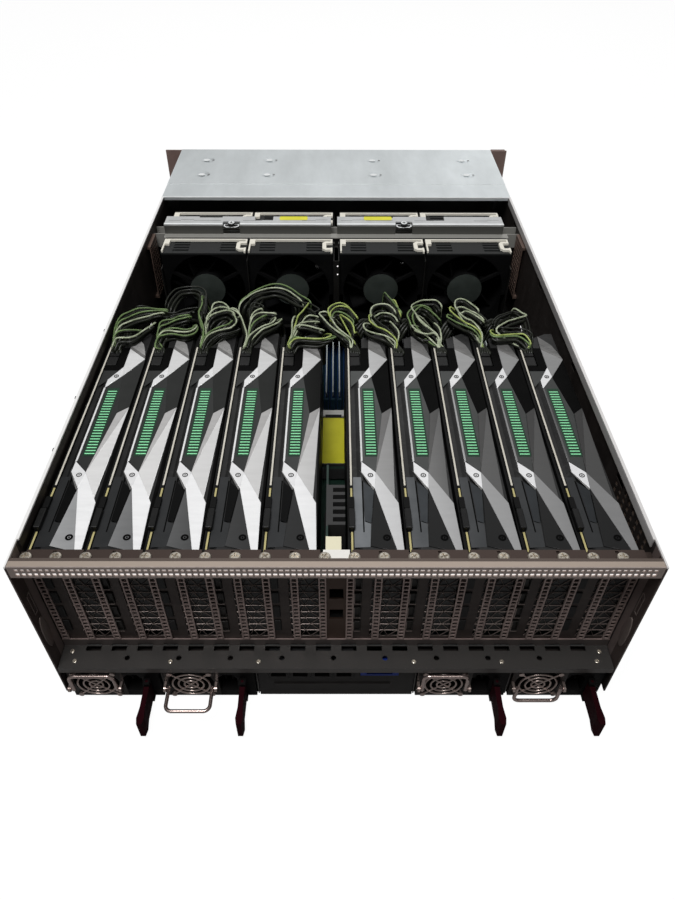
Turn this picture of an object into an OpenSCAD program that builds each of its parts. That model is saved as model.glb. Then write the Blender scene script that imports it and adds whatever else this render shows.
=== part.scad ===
// Rack server, four units high, with ten dual-slot graphics cards.
// Seen from behind: +X to the right, +Y towards the front ears, +Z up.
// The origin is under the middle of the chassis body, on the plane it stands on.

/* [Chassis] */
// Width of the chassis body between the rack rails
body_w = 437; // [436:0.5:438]
// Height of the chassis body, four rack units
body_h = 178; // [177.5:0.25:178.5]
// Depth of the chassis body from the rear face to the ears
body_d = 737; // [735:1:760]
// Thickness of the folded steel sheet
sheet = 1.2; // [1:0.1:1.3]
// Reach of the ear handles and of the release tabs past the body
reach = 33; // [30:0.5:36]

/* [Card slots] */
// Pitch of the expansion slots
slot_pitch = 20.32; // [20.2:0.02:20.34]
// Width of the perforated bar between two slots
bar_w = 5.6; // [5:0.2:6]
// Height of the shelf above the power supplies
shelf_z = 50.3; // [50:0.1:51]
// Distance of the slot wall from the rear face
slot_wall_y = 20.6; // [20:0.2:21]

/* [Graphics cards] */
// Length of a graphics card behind its bracket
card_l = 269; // [264:1:271]
// Height of a graphics card's top edge above the base
card_top = 165.2; // [165:0.1:165.4]
// Width of a card's cooler, from circuit board to outer face
card_w = 37; // [36:0.5:37.5]

/* [Fans] */
// Width of a fan module
fan_w = 97; // [95:0.5:97]
// Depth of a fan module
fan_depth = 38; // [36:0.5:38]
// Radius of the air opening of a fan
fan_bore_r = 44; // [42:0.5:45]

/* [Power supplies] */
// Width of a power supply
psu_w = 73.5; // [72:0.5:73.5]
// Height of a power supply
psu_h = 40; // [39:0.5:40]
// Length of a power supply
psu_l = 265; // [255:1:265]

/* [Drives] */
// Number of drive carriers across the front
carrier_count = 24; // [20:1:24]
// Pitch of the drive carriers
carrier_pitch = 17.2; // [17:0.1:17.3]

/* [Hidden] */
$fn = 48;

// Half width and inner half width of the body
half_w = body_w / 2;
inner_w = half_w - sheet;

// Slots: the centre slot is number 0, five dual-slot cards stand on each side of it
slot_side = 10;
card_slots = [-10, -8, -6, -4, -2, 1, 3, 5, 7, 9];
// A card's circuit board stands this far left of its first slot's centre
board_offset = 10;
board_t = 1.6;
card_y = 23;
board_z = 66;
finger_z = 58;
slot_floor_z = 59;
slot_head_z = 161;
ledge_z = 167;
ledge_y = 6.5;
// Graphics card outlines on the top face: distance from the board, distance from the rear
front_trim = [
    [9.4, 208], [9.4, 221], [19.6, 237], [19.6, 283], [30, 281],
    [34, 263], [36.6, 250]
];
rear_trim = [
    [9.4, 113], [9.4, 102], [18.5, 85], [31.5, 28], [36.6, 24],
    [36.6, 70], [34, 76], [36.6, 179], [27.6, 171], [20, 101]
];
trim_t = 1;

// Power supplies, left to right
psu_left = [-215.25, -138.75, 65.25, 141.75];
psu_y = 4;
psu_z = 1.5;
psu_fan_x = 21.6;
psu_fan_r = 18.4;
psu_fan_z = psu_z + psu_h / 2;
// Swing of each pull handle from straight out: up, out, up, down
handle_rest = [90, 0, 90, -90];
handle_l = 19;
handle_half = 17.5;
handle_r = 1.5;
handle_y = -1.2;
tab_x = 63.6;
tab_z = 6;
tab_h = 20;

// Fan rows, from the rear forwards, and fan centres across
fan_row_y = [455, 525.5];
fan_x = [-151.5, -52.5, 52.5, 151.5];
fan_top = 165;
fan_floor = 70;
fan_axis_z = fan_top - 46.5;
fan_hub_r = 20.5;

// Retainer bars: left end, latch centre
bar_left = [-203, 1];
bar_l = 196.5;
bar_latch_x = [-124, 80];
bar_y = 503;
bar_depth = 22;
bar_z = 165;
bar_top = 176.5;

// Drives and front
cover_y = 578;
cage_y = 628;
cage_z = 94;
front_y = body_d - 4;

// Internal power leads: one bundle from each card's plug down to the power board
lead_r = 4.6;
lead_sides = 10;
lead_z = 170.4;

function slot_x(n) = n * slot_pitch;
function board_x(n) = slot_x(n) - board_offset;

// Everything is laid out from the rear face and then centred over the origin
module from_rear() {
    translate([0, -body_d / 2, 0]) children();
}

module block(low, high) {
    translate(low) cube(high - low);
}

// Cylinder whose axis runs along +Y from the given point
module y_cylinder(at, r, h) {
    translate(at) rotate([-90, 0, 0]) cylinder(r = r, h = h);
}

// Cylinder whose axis runs along +X from the given point
module x_cylinder(at, r, h) {
    translate(at) rotate([0, 90, 0]) cylinder(r = r, h = h);
}

// Flat plate in the X-Z plane, from its outline, standing at a depth
module xz_plate(y, t) {
    translate([0, y + t, 0]) rotate([90, 0, 0]) linear_extrude(height = t) children();
}

// Flat plate in the Y-Z plane, from its outline, standing at an X
module yz_plate(x, t) {
    translate([x, 0, 0]) rotate([90, 0, 90]) linear_extrude(height = t) children();
}

/* ---- Folded sheet body ---- */

wall_notch = 16;
wall_notch_y = 8;
hem_h = 9;

// Hairline joint between the plates of one folded or riveted assembly
joint_gap = 0.05;

// One side wall: hemmed top edge, a notch at the rear foot and rail windows
module side_wall(vented) {
    difference() {
        polygon([
            [0, wall_notch], [wall_notch_y, wall_notch], [wall_notch_y, 0], [body_d, 0],
            [body_d, body_h - sheet], [cover_y, body_h - sheet], [cover_y, body_h], [0, body_h]
        ]);
        // Keyhole windows for the slide rails
        for (y = [150, 420, 660]) translate([y, 89]) square([14, 7], center = true);
        // Locating slots of the lid under the hem, and a vent beside the last card
        if (vented) {
            for (y = [95, 240, 385, 530]) translate([y, body_h - 14]) square([12, 4], center = true);
            for (i = [0 : 7], j = [0 : 3])
                translate([34 + i * 9, 146 + j * 6]) square(4, center = true);
        }
    }
}

module chassis_tray() color("#4a4543") from_rear() {
    block([-half_w, wall_notch_y, 0], [half_w, body_d, sheet]);
    for (side = [0, 1]) mirror([side, 0, 0]) {
        yz_plate(half_w - sheet, sheet) side_wall(side == 0);
        // The hem is folded inwards over the wall's top
        block([inner_w - sheet, 24, body_h - hem_h], [inner_w, cover_y - 2, body_h]);
        // Rolled foot of the front edge
        block([64.4, body_d - 8, sheet + joint_gap], [inner_w - joint_gap, body_d - 8 + sheet, 4]);
    }
}

/* ---- Rear: slot wall and top rail ---- */

bar_hole = 3.5;
bar_hole_pitch = 4.6;
bar_hole_count = 22;

// One perforated bar of the slot wall, between two openings
module slot_bar(x) {
    difference() {
        translate([x - bar_w / 2, slot_floor_z]) square([bar_w, slot_head_z - slot_floor_z]);
        for (j = [0 : bar_hole_count - 1])
            translate([x, slot_floor_z + 3.4 + j * bar_hole_pitch]) square(bar_hole, center = true);
    }
}

module slot_wall() color("#5a524e") from_rear() {
    // Foot strip, with windows for the bracket tongues at the fold
    xz_plate(slot_wall_y, sheet) difference() {
        translate([-inner_w + 0.4, shelf_z])
            square([2 * inner_w - 0.8, slot_floor_z - shelf_z]);
        for (n = [-slot_side + 1 : slot_side])
            translate([slot_x(n) - slot_pitch / 2, shelf_z + 1.1]) square([12, 2.4], center = true);
    }
    xz_plate(slot_wall_y, sheet) translate([-inner_w + 0.4, slot_head_z])
        square([2 * inner_w - 0.8, ledge_z - sheet - slot_head_z]);
    for (n = [-slot_side : slot_side + 1])
        xz_plate(slot_wall_y, sheet) slot_bar(slot_x(n) - slot_pitch / 2);
}

rail_hole = 2.8;
rail_hole_pitch = slot_pitch / 5;

module rail_perforation() {
    for (i = [-52 : 52]) {
        translate([i * rail_hole_pitch, body_h - 8.1]) square(rail_hole, center = true);
        if (i % 5 != 0)
            translate([i * rail_hole_pitch, body_h - 3.6]) square([rail_hole, 2], center = true);
    }
    for (n = [-slot_side : slot_side])
        translate([slot_x(n), body_h - 3.7]) circle(r = 1.3, $fn = 8);
}

module top_rail() color("#7d706b") from_rear() {
    xz_plate(0, sheet) difference() {
        translate([-inner_w + 0.4, ledge_z - 0.5]) square([2 * inner_w - 0.8, body_h - ledge_z + 0.5]);
        rail_perforation();
    }
    block([-inner_w + 0.4, sheet, body_h - sheet], [inner_w - 0.4, ledge_y, body_h]);
    block([-inner_w + 0.4, ledge_y, ledge_z - sheet], [inner_w - 0.4, ledge_y + sheet, body_h]);
    block([-inner_w + 0.4, ledge_y + sheet, ledge_z - sheet],
          [inner_w - 0.4, slot_wall_y + sheet, ledge_z]);
}

/* ---- Card tray, baseboard and slots ---- */

base_y = 30;
base_end = 222;
base_z = 52;

module gpu_tray() color("#6b6b69") from_rear() {
    difference() {
        block([-inner_w + 0.4, 0, shelf_z - sheet], [inner_w - 0.4, 225, shelf_z]);
        // Air windows between the cards
        for (n = card_slots)
            block([board_x(n) + 12, 165, shelf_z - 2 * sheet], [board_x(n) + 30, 205, shelf_z + sheet]);
        // Rear shelf: windows for the bracket tongues and round holes
        for (n = [-slot_side + 1 : slot_side])
            translate([slot_x(n) - slot_pitch / 2 - 6, slot_wall_y - 4.8, shelf_z - 2 * sheet])
                cube([12, 4.4, 3 * sheet]);
        for (n = [-4 : 4])
            translate([n * 2 * slot_pitch - slot_pitch / 2 + 8, 9.5, shelf_z - 2 * sheet])
                cylinder(r = 2.2, h = 3 * sheet);
    }
    // Lip turned down along the rear edge, and the stiffening flange at the front edge
    block([-inner_w + 0.4, 0, shelf_z - 6], [inner_w - 0.4, sheet, shelf_z - sheet]);
    block([-inner_w + 0.4, 225 - sheet, shelf_z], [inner_w - 0.4, 225, shelf_z + 5]);
    // Dividers between the power supply bays, lower under the power board's duct
    for (side = [0, 1]) mirror([side, 0, 0]) for (x = [63.4, 139.75]) {
        block([x, 6, sheet], [x + 1, 226, shelf_z - sheet - 0.3]);
        block([x, 226.3, sheet], [x + 1, 270, 42]);
    }
}

module card_socket(x) {
    difference() {
        block([x - 3.9, 60, base_z + board_t], [x + 3.9, 150, 65]);
        block([x - 1, 62, 57], [x + 1, 148, 66]);
    }
}

module gpu_baseboard() color("#1d4a3a") from_rear() {
    block([-212, base_y, base_z], [212, base_end, base_z + board_t]);
    for (x = [-200, -100, 0, 100, 200], y = [40, 212])
        translate([x, y, shelf_z]) cylinder(r = 3, h = base_z - shelf_z);
    for (n = card_slots) card_socket(board_x(n) + board_t / 2);
    card_socket(-6.8);
    // Heat sinks of the bus switches, between the sockets
    for (x = [-150, 150, -69, 69], i = [0 : 4])
        block([x - 6 + i * 3, 160, base_z + board_t], [x - 5 + i * 3, 200, 64]);
}

/* ---- Graphics cards ---- */

module card_board(x) {
    block([x, card_y, board_z], [x + board_t, card_y + card_l - 2, card_top + 0.3]);
    // Power header
    block([x + board_t - 0.2, 240, plug_floor_z + 0.4], [x + 11, 269, plug_seat_z]);
    block([x, 63, finger_z], [x + board_t, 147, board_z]);
    // Back plate, stamped and stood off the board
    difference() {
        block([x - 2.2, card_y + 2, board_z + 2], [x, card_y + card_l - 4, card_top - 1.2]);
        block([x - 3, 150, board_z + 40], [x - 1.2, 215, board_z + 75]);
    }
    // Notched bridge contacts on the top edge
    for (v = [48, 62]) block([x - 1.4, v, card_top + 0.3], [x + board_t + 1.2, v + 11, card_top + 2.8]);
}

module gpu_boards() color("#20201f") from_rear() {
    for (n = card_slots) card_board(board_x(n));
}

shroud_bevel = 4;
// Well for the power plug: reach across the card, start, floor height and plug seat
plug_well_u = 13.5;
plug_well_y = 232;
plug_floor_z = card_top - 14;
plug_seat_z = card_top - 2.7;

// Cross-section of the cooler shroud: bevelled shoulders, stepped towards the board
module shroud_section() {
    polygon([
        [board_t, board_z + 3], [card_w - 3, board_z + 3], [card_w, board_z + 6],
        [card_w, card_top - shroud_bevel], [card_w - 1.4, card_top], [8, card_top],
        [5.5, card_top - 1.8], [board_t, card_top - 1.8]
    ]);
}

module card_shroud(x) {
    blower_y = card_y + card_l - 44;
    translate([x, 0, 0]) difference() {
        translate([0, card_y + card_l, 0]) rotate([90, 0, 0]) linear_extrude(height = card_l)
            shroud_section();
        // Slanted front shoulder
        translate([30, card_y + card_l + 0.5, board_z]) rotate([0, 0, -150])
            translate([-30, -16, 0]) cube([60, 16, 120]);
        // Well for the power plugs
        block([-1, plug_well_y, plug_floor_z], [plug_well_u, card_y + card_l + 1, card_top + 1]);
        // Blower opening in the outer face
        x_cylinder([card_w - 13, blower_y, 112], 33, 20);
        // Sunk panel behind the rear trim
        translate([0, 0, card_top - 2.5]) linear_extrude(height = 4)
            polygon([[10.2, 97], [17, 85], [20.5, 60], [16.5, 50], [10.2, 50]]);
        // Long shallow facet in the middle of the top
        translate([0, 0, card_top - 0.6]) linear_extrude(height = 2)
            polygon([[20.6, 205], [34.5, 238], [36, 185], [26, 174]]);
    }
    // Blower hub and a ring of vanes
    x_cylinder([x + card_w - 13, blower_y, 112], 12, 9);
    for (i = [0 : 11]) translate([x + card_w - 13, blower_y, 112]) rotate([i * 30, 0, 0])
        block([0, 11, -0.7], [8, 31, 0.7]);
}

module gpu_shrouds() color("#2b2b2b") from_rear() {
    for (n = card_slots) card_shroud(board_x(n));
}

module card_trim(x) {
    translate([x, 0, card_top]) {
        linear_extrude(height = trim_t) polygon(front_trim);
        linear_extrude(height = trim_t) polygon(rear_trim);
        // Thin bright edge joining the two
        linear_extrude(height = trim_t) polygon([[8.6, 111], [10.2, 111], [10.2, 211], [8.6, 211]]);
    }
}

module gpu_trims() color("#d9d9d9") from_rear() {
    for (n = card_slots) card_trim(board_x(n));
}

bracket_t = 1;
bracket_w = 38.8;

// Two-slot bracket with a column of sockets and the window of its vent
module bracket_face() {
    difference() {
        translate([0.6, base_z + 2]) square([bracket_w, ledge_z - base_z - 2 + bracket_t]);
        for (z = [78, 96, 114, 132]) translate([5.5, z]) square([6, 14], center = true);
        translate([15.5, 62]) square([22.5, 98]);
    }
}

module card_bracket(x) {
    translate([x, 0, 0]) {
        xz_plate(22, bracket_t) bracket_face();
        for (u = [0.6, 21.2])
            block([u, 9, ledge_z], [u + 18.2, 22, ledge_z + bracket_t]);
    }
}

module gpu_brackets() color("#55504d") from_rear() {
    for (n = card_slots) card_bracket(board_x(n));
}

/* ---- Network card in the centre slot ---- */

nic_x = -7.6;
nic_end = 112;
jack_z = [86, 112];

module network_card() color("#a86a45") from_rear() {
    block([nic_x, 23, board_z], [nic_x + board_t, nic_end, 163]);
    block([nic_x, 63, finger_z], [nic_x + board_t, 108, board_z]);
    difference() {
        block([-9.2, 22, base_z + 2], [9.2, 23, ledge_z + bracket_t]);
        for (z = jack_z) block([-5.4, 21, z], [5.6, 24, z + 12]);
    }
    block([-9.2, 9, ledge_z], [9.2, 22, ledge_z + bracket_t]);
    for (z = jack_z) difference() {
        block([nic_x + board_t, 23, z - 1.5], [7.6, 44, z + 13.5]);
        block([-5, 22, z + 0.3], [5.2, 38, z + 11.7]);
    }
    // Finned heat sink
    block([nic_x + board_t, 50, 118], [-2.6, 90, 163]);
    for (i = [0 : 5]) block([-2.6, 50 + i * 7.4, 118], [6.4, 53 + i * 7.4, 163]);
    // Header block by the bracket
    block([nic_x + board_t, 24, 146], [3.4, 39, 163]);
}

/* ---- Internal power leads ---- */

lead_x_shift = [10, 8, 12, 6, 10, 8, 8, 12, 8, -6];
lead_plug = [9.6, 33, 12.7];

// Route of one bundle, from the plug's front face over the card's end and down
function lead_route(i) =
    let (x = board_x(card_slots[i]) + 6.6, s = lead_x_shift[i])
    [
        [x, 268, lead_z], [x, 286, lead_z], [x + s * 0.2, 299, lead_z - 0.4], [x + s * 0.5, 315, 165],
        [x + s * 0.8, 328, 151], [x + s, 335, 130], [x + s, 336, 100], [x + s, 336, 66]
    ];

function unit(v) = v / norm(v);
function route_dir(p, k) =
    k == 0 ? [0, 1, 0]
    : k == len(p) - 1 ? [0, 0, -1]
    : unit(p[k + 1] - p[k - 1]);

// Points of one ring around the route; the X axis is never along the route
function ring(p, k, r, n) =
    let (d = route_dir(p, k), a = unit(cross(d, [1, 0, 0])), b = cross(d, a))
    [for (j = [0 : n - 1]) p[k] + r * (cos(360 * j / n) * a + sin(360 * j / n) * b)];

module swept_tube(p, r, n) {
    m = len(p);
    points = [for (k = [0 : m - 1]) each ring(p, k, r, n)];
    sides = [
        for (k = [0 : m - 2], j = [0 : n - 1])
            let (a = k * n + j, b = k * n + (j + 1) % n)
            each [[a, b + n, b], [a, a + n, b + n]]
    ];
    ends = [[for (j = [0 : n - 1]) j], [for (j = [n - 1 : -1 : 0]) (m - 1) * n + j]];
    polyhedron(points = points, faces = concat(sides, ends), convexity = 4);
}

module power_leads() color("#1c2416") from_rear() {
    for (i = [0 : len(card_slots) - 1]) {
        x = board_x(card_slots[i]);
        low = [x + 1.8, 238, plug_seat_z];
        block(low, low + lead_plug);
        swept_tube(lead_route(i), lead_r, lead_sides);
    }
}

/* ---- Power board and air shroud ---- */

duct_top = 46;

module power_board() color("#262626") from_rear() {
    // Duct panel over the supplies' plug boards, with ribs
    block([-216, 228, duct_top - 1.5], [216, 307, duct_top]);
    block([-216, 271.2, 42], [-66, 274.4, duct_top - 1.5]);
    block([66, 271.2, 42], [216, 274.4, duct_top - 1.5]);
    for (i = [-6 : 6]) block([i * 33 - 0.6, 232, duct_top], [i * 33 + 0.6, 303, duct_top + 1.6]);
    // Lead sockets: one block under each bundle, on a strip board
    block([-208, 326, 40], [-19, 346, 41.6]);
    block([13, 326, 40], [208, 346, 41.6]);
    for (i = [0 : len(card_slots) - 1]) {
        p = lead_route(i);
        x = p[len(p) - 1][0];
        block([x - 8, 328, 41.6], [x + 8, 344, 66]);
    }
    // Strip that ties the socket board to the duct
    for (x = [-190, -64, 64, 190]) {
        block([x - 6, 307, 40], [x + 6, 327, duct_top]);
        translate([x, 336, mb_top]) cylinder(r = 3, h = 40 - mb_top);
    }
    // Bar connector at the middle of the duct's front edge
    block([-16.5, 312, 39], [10, 322, 44]);
    block([-12, 300, 40], [6, 313, duct_top - 1]);
}

/* ---- Main board ---- */

mb_z = 8;
mb_top = mb_z + board_t;

module main_board() color("#20503a") from_rear() {
    block([-209, 286, mb_z], [209, 600, mb_top]);
    block([-56, 9, mb_z], [56, 286, mb_top]);
    for (x = [-195, -70, 70, 195], y = [300, 440, 590])
        translate([x, y, sheet]) cylinder(r = 3, h = mb_z - sheet);
    for (x = [-45, 45], y = [20, 150])
        translate([x, y, sheet]) cylinder(r = 3, h = mb_z - sheet);
    // Plug boards of the power supplies, standing in front of their bays
    for (side = [0, 1]) mirror([side, 0, 0]) block([66, 272, sheet], [215, 273.6, 42]);
}

module cpu_coolers() color("#9a9c9e") from_rear() {
    for (x = [-103, 103]) {
        block([x - 30, 355, mb_top], [x + 30, 435, mb_top + 4]);
        block([x - 42, 350, mb_top + 4], [x + 42, 440, mb_top + 9]);
        for (i = [0 : 17])
            block([x - 42 + i * 4.9, 350, mb_top + 9], [x - 41.2 + i * 4.9, 440, 62]);
    }
}

dimm_pitch = 7.6;
dimm_top = 44;

module dimm(x, y) {
    difference() {
        block([x - 3, y, mb_top], [x + 3, y + 141, mb_top + 7]);
        block([x - 0.8, y + 3, mb_top + 3], [x + 0.8, y + 138, mb_top + 9]);
    }
    block([x - 0.7, y + 4, mb_top + 3], [x + 0.7, y + 137, dimm_top]);
    for (e = [y, y + 137.2]) block([x - 2, e, mb_top + 7], [x + 2, e + 3.8, dimm_top - 8]);
}

module memory_modules() color("#1f3a5a") from_rear() {
    for (i = [0 : 11]) dimm((i - 5.5) * dimm_pitch, 350);
    for (side = [0, 1], i = [0 : 5]) mirror([side, 0, 0]) dimm(158 + i * dimm_pitch, 350);
}

jack_x = [-54, -36.5, -19, -1.5];

// Jack shell on its foot, open to the rear: serial stack and three network jacks
module rear_jack(x) {
    difference() {
        union() {
            block([x, 4.6, 28], [x + 15.5, 24, 43]);
            block([x, 9, mb_top], [x + 15.5, 24, 28]);
        }
        block([x + 1.8, 3, 30.4], [x + 13.7, 16, 40.6]);
    }
}

module io_panel() color("#3a3a3a") from_rear() {
    xz_plate(5, sheet) difference() {
        translate([-62.6, sheet]) square([125.2, shelf_z - 2 * sheet - 0.3]);
        for (x = jack_x) translate([x - 0.3, 27.7]) square([16.1, 15.6]);
        translate([19.2, 31.7]) square([31.1, 11.6]);
    }
    // Pressed rib along the lower half
    block([-50, 4, 12], [44, 5, 20]);
    for (x = jack_x) rear_jack(x);
    // Display socket on its foot
    difference() {
        union() {
            block([19.5, 4.6, 32], [50, 16, 43]);
            block([19.5, 9, mb_top], [50, 16, 32]);
        }
        block([24.5, 3, 34], [45, 9, 41]);
    }
}

/* ---- Fan cage ---- */

divider_t = 1.2;
channel_y = bar_y;

module fan_cage() color("#3d3d3d") from_rear() {
    // Deck that the modules stand on, with a foot flange along each wall
    difference() {
        block([-inner_w, 450, fan_floor - sheet], [inner_w, 570, fan_floor]);
        for (x = fan_x, y = fan_row_y)
            block([x - 30, y + 6, fan_floor - 2 * sheet], [x + 30, y + 32, fan_floor + sheet]);
    }
    foot = fan_floor + joint_gap;
    for (side = [0, 1]) mirror([side, 0, 0]) {
        block([inner_w - sheet, 450, fan_floor - 16], [inner_w, 570, fan_floor - sheet - joint_gap]);
        // Outer wall of the bays
        block([200.6, 450, foot], [200.6 + divider_t, 570, 147.5]);
        // Divider between two bays, behind and in front of the channel
        block([102 - divider_t / 2, 450, foot], [102 + divider_t / 2, channel_y - joint_gap, 158]);
        block([102 - divider_t / 2, 522 + joint_gap, foot], [102 + divider_t / 2, 570, 158]);
        // Middle post, a channel open towards the drives
        block([2.2, 450, foot], [3.4, channel_y - joint_gap, 158]);
        block([2.2, 522 + joint_gap, foot], [3.4, 570, 158]);
        // Perforated side bracket, stood off the wall by two feet
        yz_plate(inner_w - 4.5, 1) difference() {
            translate([463, 102]) square([34, 66]);
            for (i = [0 : 5], j = [0 : 11])
                translate([467.5 + i * 5, 106 + j * 5.3]) circle(r = 1.9, $fn = 6);
        }
        for (z = [102, 165]) block([inner_w - 3.6, 463, z], [inner_w, 497, z + 3]);
    }
    block([-3.4, 450, foot], [3.4, 451.2, 158]);
    // Channel between the two rows: floor, two lips and the flange over the rear row
    block([-inner_w, channel_y, 148], [inner_w, 522, 148 + sheet]);
    block([-inner_w, channel_y, 148 + sheet], [inner_w, channel_y + sheet, bar_z]);
    block([-inner_w, 522 - sheet, 148 + sheet], [inner_w, 522, bar_z]);
    block([-203, fan_row_y[0] + fan_depth + 0.6, bar_z - sheet], [203, channel_y, bar_z]);
}

/* ---- Fan modules ---- */

// White carrying frame: front rail, left clip and the squeeze latch on the right
module fan_handle(x, y) {
    translate([x, y, fan_top]) linear_extrude(height = 2.6) {
        translate([-48, 28]) square([96, 2]);
        translate([-48, 1]) square([1.8, 29]);
        translate([-48, 18]) square([6.5, 12]);
        difference() {
            translate([36.5, 4]) square([11.5, 20]);
            translate([41, 8]) square([9, 12]);
            translate([36.5, 4]) rotate(45) square([5, 5], center = true);
            translate([36.5, 24]) rotate(45) square([5, 5], center = true);
        }
        translate([46, 0]) square([2, 9]);
        translate([46, 20]) square([2, 10]);
    }
}

module fan_module(i) color("#232323") from_rear() {
    x = fan_x[i % 4];
    y = fan_row_y[floor(i / 4)];
    difference() {
        block([x - fan_w / 2, y, fan_floor + 0.3], [x + fan_w / 2, y + fan_depth, fan_top]);
        y_cylinder([x, y - 1, fan_axis_z], fan_bore_r, fan_depth + 2);
        // Slots in the top face, either side of the plain middle
        for (side = [-1, 1], j = [0 : 3])
            translate([x + side * 27 - 9, y + 5 + j * 6.5, fan_top - 1.5]) cube([18, 4, 3]);
        // Undercut under the top face at the outer corners
        for (side = [-1, 1])
            block([x + side * 46.4 - 2.2, y - 1, fan_floor + 12], [x + side * 46.4 + 2.2, y + 30, 112]);
    }
    // Motor hub held by three stays, facing the cards
    difference() {
        union() {
            y_cylinder([x, y, fan_axis_z], fan_hub_r, 5);
            for (a = [90, 210, 330]) translate([x, y, fan_axis_z]) rotate([0, a, 0])
                block([fan_hub_r - 2, 0, -1.6], [fan_bore_r + 1.2, 4, 1.6]);
        }
        y_cylinder([x, y + 2, fan_axis_z], 2.05, 4);
    }
    fan_handle(x, y);
}

// Impeller: a hub with pitched, cambered blades trimmed to the bore
module impeller(hub_r, tip_r, depth, blades, pitch, shaft_r) {
    y_cylinder([0, 0, 0], hub_r, depth);
    y_cylinder([0, -3, 0], shaft_r, 3.5);
    intersection() {
        y_cylinder([0, 0, 0], tip_r, depth);
        for (k = [0 : blades - 1]) rotate([0, k * 360 / blades, 0]) translate([hub_r - 1, depth / 2, 0])
            rotate([0, 90, 0]) rotate([0, 0, pitch]) linear_extrude(height = tip_r)
                blade_section(tip_r);
    }
}

// Cambered blade cross-section: the crescent between two arcs
module blade_section(size) {
    r = size;
    intersection() {
        difference() {
            translate([0, -r * 0.86]) circle(r = r, $fn = 64);
            translate([0, -r * 0.9]) circle(r = r, $fn = 64);
        }
        square([size * 0.9, size], center = true);
    }
}

module fan_rotor(i) color("#303030") from_rear() {
    x = fan_x[i % 4];
    y = fan_row_y[floor(i / 4)];
    translate([x, y + 5.6, fan_axis_z]) impeller(19, 42.6, 26, 7, 52, 2);
}

/* ---- Retainer bars ---- */

module retainer_bar(i) color("#c9ccd0") from_rear() {
    x = bar_left[i];
    latch = bar_latch_x[i];
    difference() {
        block([x, bar_y, bar_top - 1.5], [x + bar_l, bar_y + bar_depth, bar_top]);
        // Notch for the latch, relief along the front edge and a finger window
        block([latch - 10, bar_y - 1, bar_top - 3], [latch + 10, bar_y + 9, bar_top + 1]);
        block([x + bar_l * 0.54, bar_y + 12, bar_top - 3], [x + bar_l * 0.65, bar_y + 23, bar_top + 1]);
        block([x + bar_l * 0.2, bar_y + 19, bar_top - 3], [x + bar_l * 0.34, bar_y + 23, bar_top + 1]);
    }
    // Guide under the latch
    block([latch - 12, bar_y + 1.4, bar_top - 5.6], [latch + 12, bar_y + 13, bar_top - 4.3]);
    for (x = [latch - 10.8, latch + 10.8])
        block([x - 1, bar_y + 1.4, bar_top - 5], [x + 1, bar_y + 13, bar_top - 1]);
    // Edges turned down, and the two end feet
    block([x, bar_y, bar_z], [latch - 10, bar_y + 1.5, bar_top - 1.5]);
    block([latch + 10, bar_y, bar_z], [x + bar_l, bar_y + 1.5, bar_top - 1.5]);
    for (e = [x, x + bar_l - 1.5])
        block([e, bar_y + 1.5, bar_z], [e + 1.5, bar_y + bar_depth - 2.5, bar_top - 1.5]);
}

module bar_latch(i) color("#2a2a2c") from_rear() {
    latch = bar_latch_x[i];
    translate([latch, bar_y, bar_top - 4]) {
        linear_extrude(height = 1.5) polygon([[-9, 8], [9, 8], [9, 1], [6, -2], [-6, -2], [-9, 1]]);
        translate([0, 2, 1.5]) cylinder(r = 4, h = 3.5);
    }
}

/* ---- Power supplies ---- */

guard_r = [5.4, 10.2, 15];
guard_wire = 0.8;
inlet_x = 44;
inlet_z = 9.5;
lug_r = 2.6;

module guard_ring(r) {
    rotate([-90, 0, 0]) rotate_extrude() translate([r, 0]) circle(r = guard_wire, $fn = 16);
}

module psu_case(i) color("#3b3836") from_rear() translate([psu_left[i], 0, 0]) {
    fan_c = [psu_fan_x, psu_y, psu_fan_z];
    difference() {
        block([0, psu_y, psu_z], [psu_w, psu_y + psu_l, psu_z + psu_h]);
        y_cylinder(fan_c - [0, 1, 0], psu_fan_r, 23);
        // Mains socket
        xz_plate(psu_y - 1, 17) translate([inlet_x, inlet_z]) polygon([
            [0, 0], [15, 0], [15, 19], [11.5, 24], [3.5, 24], [0, 19]
        ]);
        // Vents along the top
        for (x = [8 : 5 : 63])
            block([x, 230, psu_z + psu_h - 2], [x + 2.5, 262, psu_z + psu_h + 1]);
    }
    // Socket pins
    for (p = [[4, 8], [9.6, 8], [6.8, 14.5]]) translate([inlet_x + p[0], psu_y + 6, inlet_z + p[1]])
        cube([1.6, 10.2, 4]);
    // Motor mount at the back of the fan well
    difference() {
        y_cylinder(fan_c + [0, 17.5, 0], 8, 4.5);
        y_cylinder(fan_c + [0, 16.5, 0], 1.05, 4);
    }
    // Wire guard: rings, a cross of stays and four corner screws
    translate([psu_fan_x, psu_y - 1.2, psu_fan_z]) {
        for (r = guard_r) guard_ring(r);
        for (a = [45, 135]) rotate([0, a, 0]) translate([-22, 0, 0]) rotate([0, 90, 0])
            cylinder(r = guard_wire - 0.15, h = 44, $fn = 16);
        for (a = [45 : 90 : 315]) rotate([0, a, 0]) translate([22.2, -0.8, 0]) rotate([-90, 0, 0])
            cylinder(r = 2.2, h = 2);
    }
    // Lugs that carry the pull handle
    for (x = [0.2, 41]) difference() {
        union() {
            block([x, handle_y, psu_fan_z - lug_r], [x + 2, psu_y, psu_fan_z + lug_r]);
            x_cylinder([x, handle_y, psu_fan_z], lug_r, 2);
        }
        x_cylinder([x - 1, handle_y, psu_fan_z], 1.05, 4);
    }
    // Lugs that carry the release tab's pin
    for (z = [tab_z - 3.6, tab_z + tab_h + 0.4]) difference() {
        block([tab_x - 2.6, -2, z], [tab_x + 2.6, psu_y, z + 3.2]);
        translate([tab_x, 1, z - 1]) cylinder(r = 1.25, h = 6);
    }
}

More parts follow.
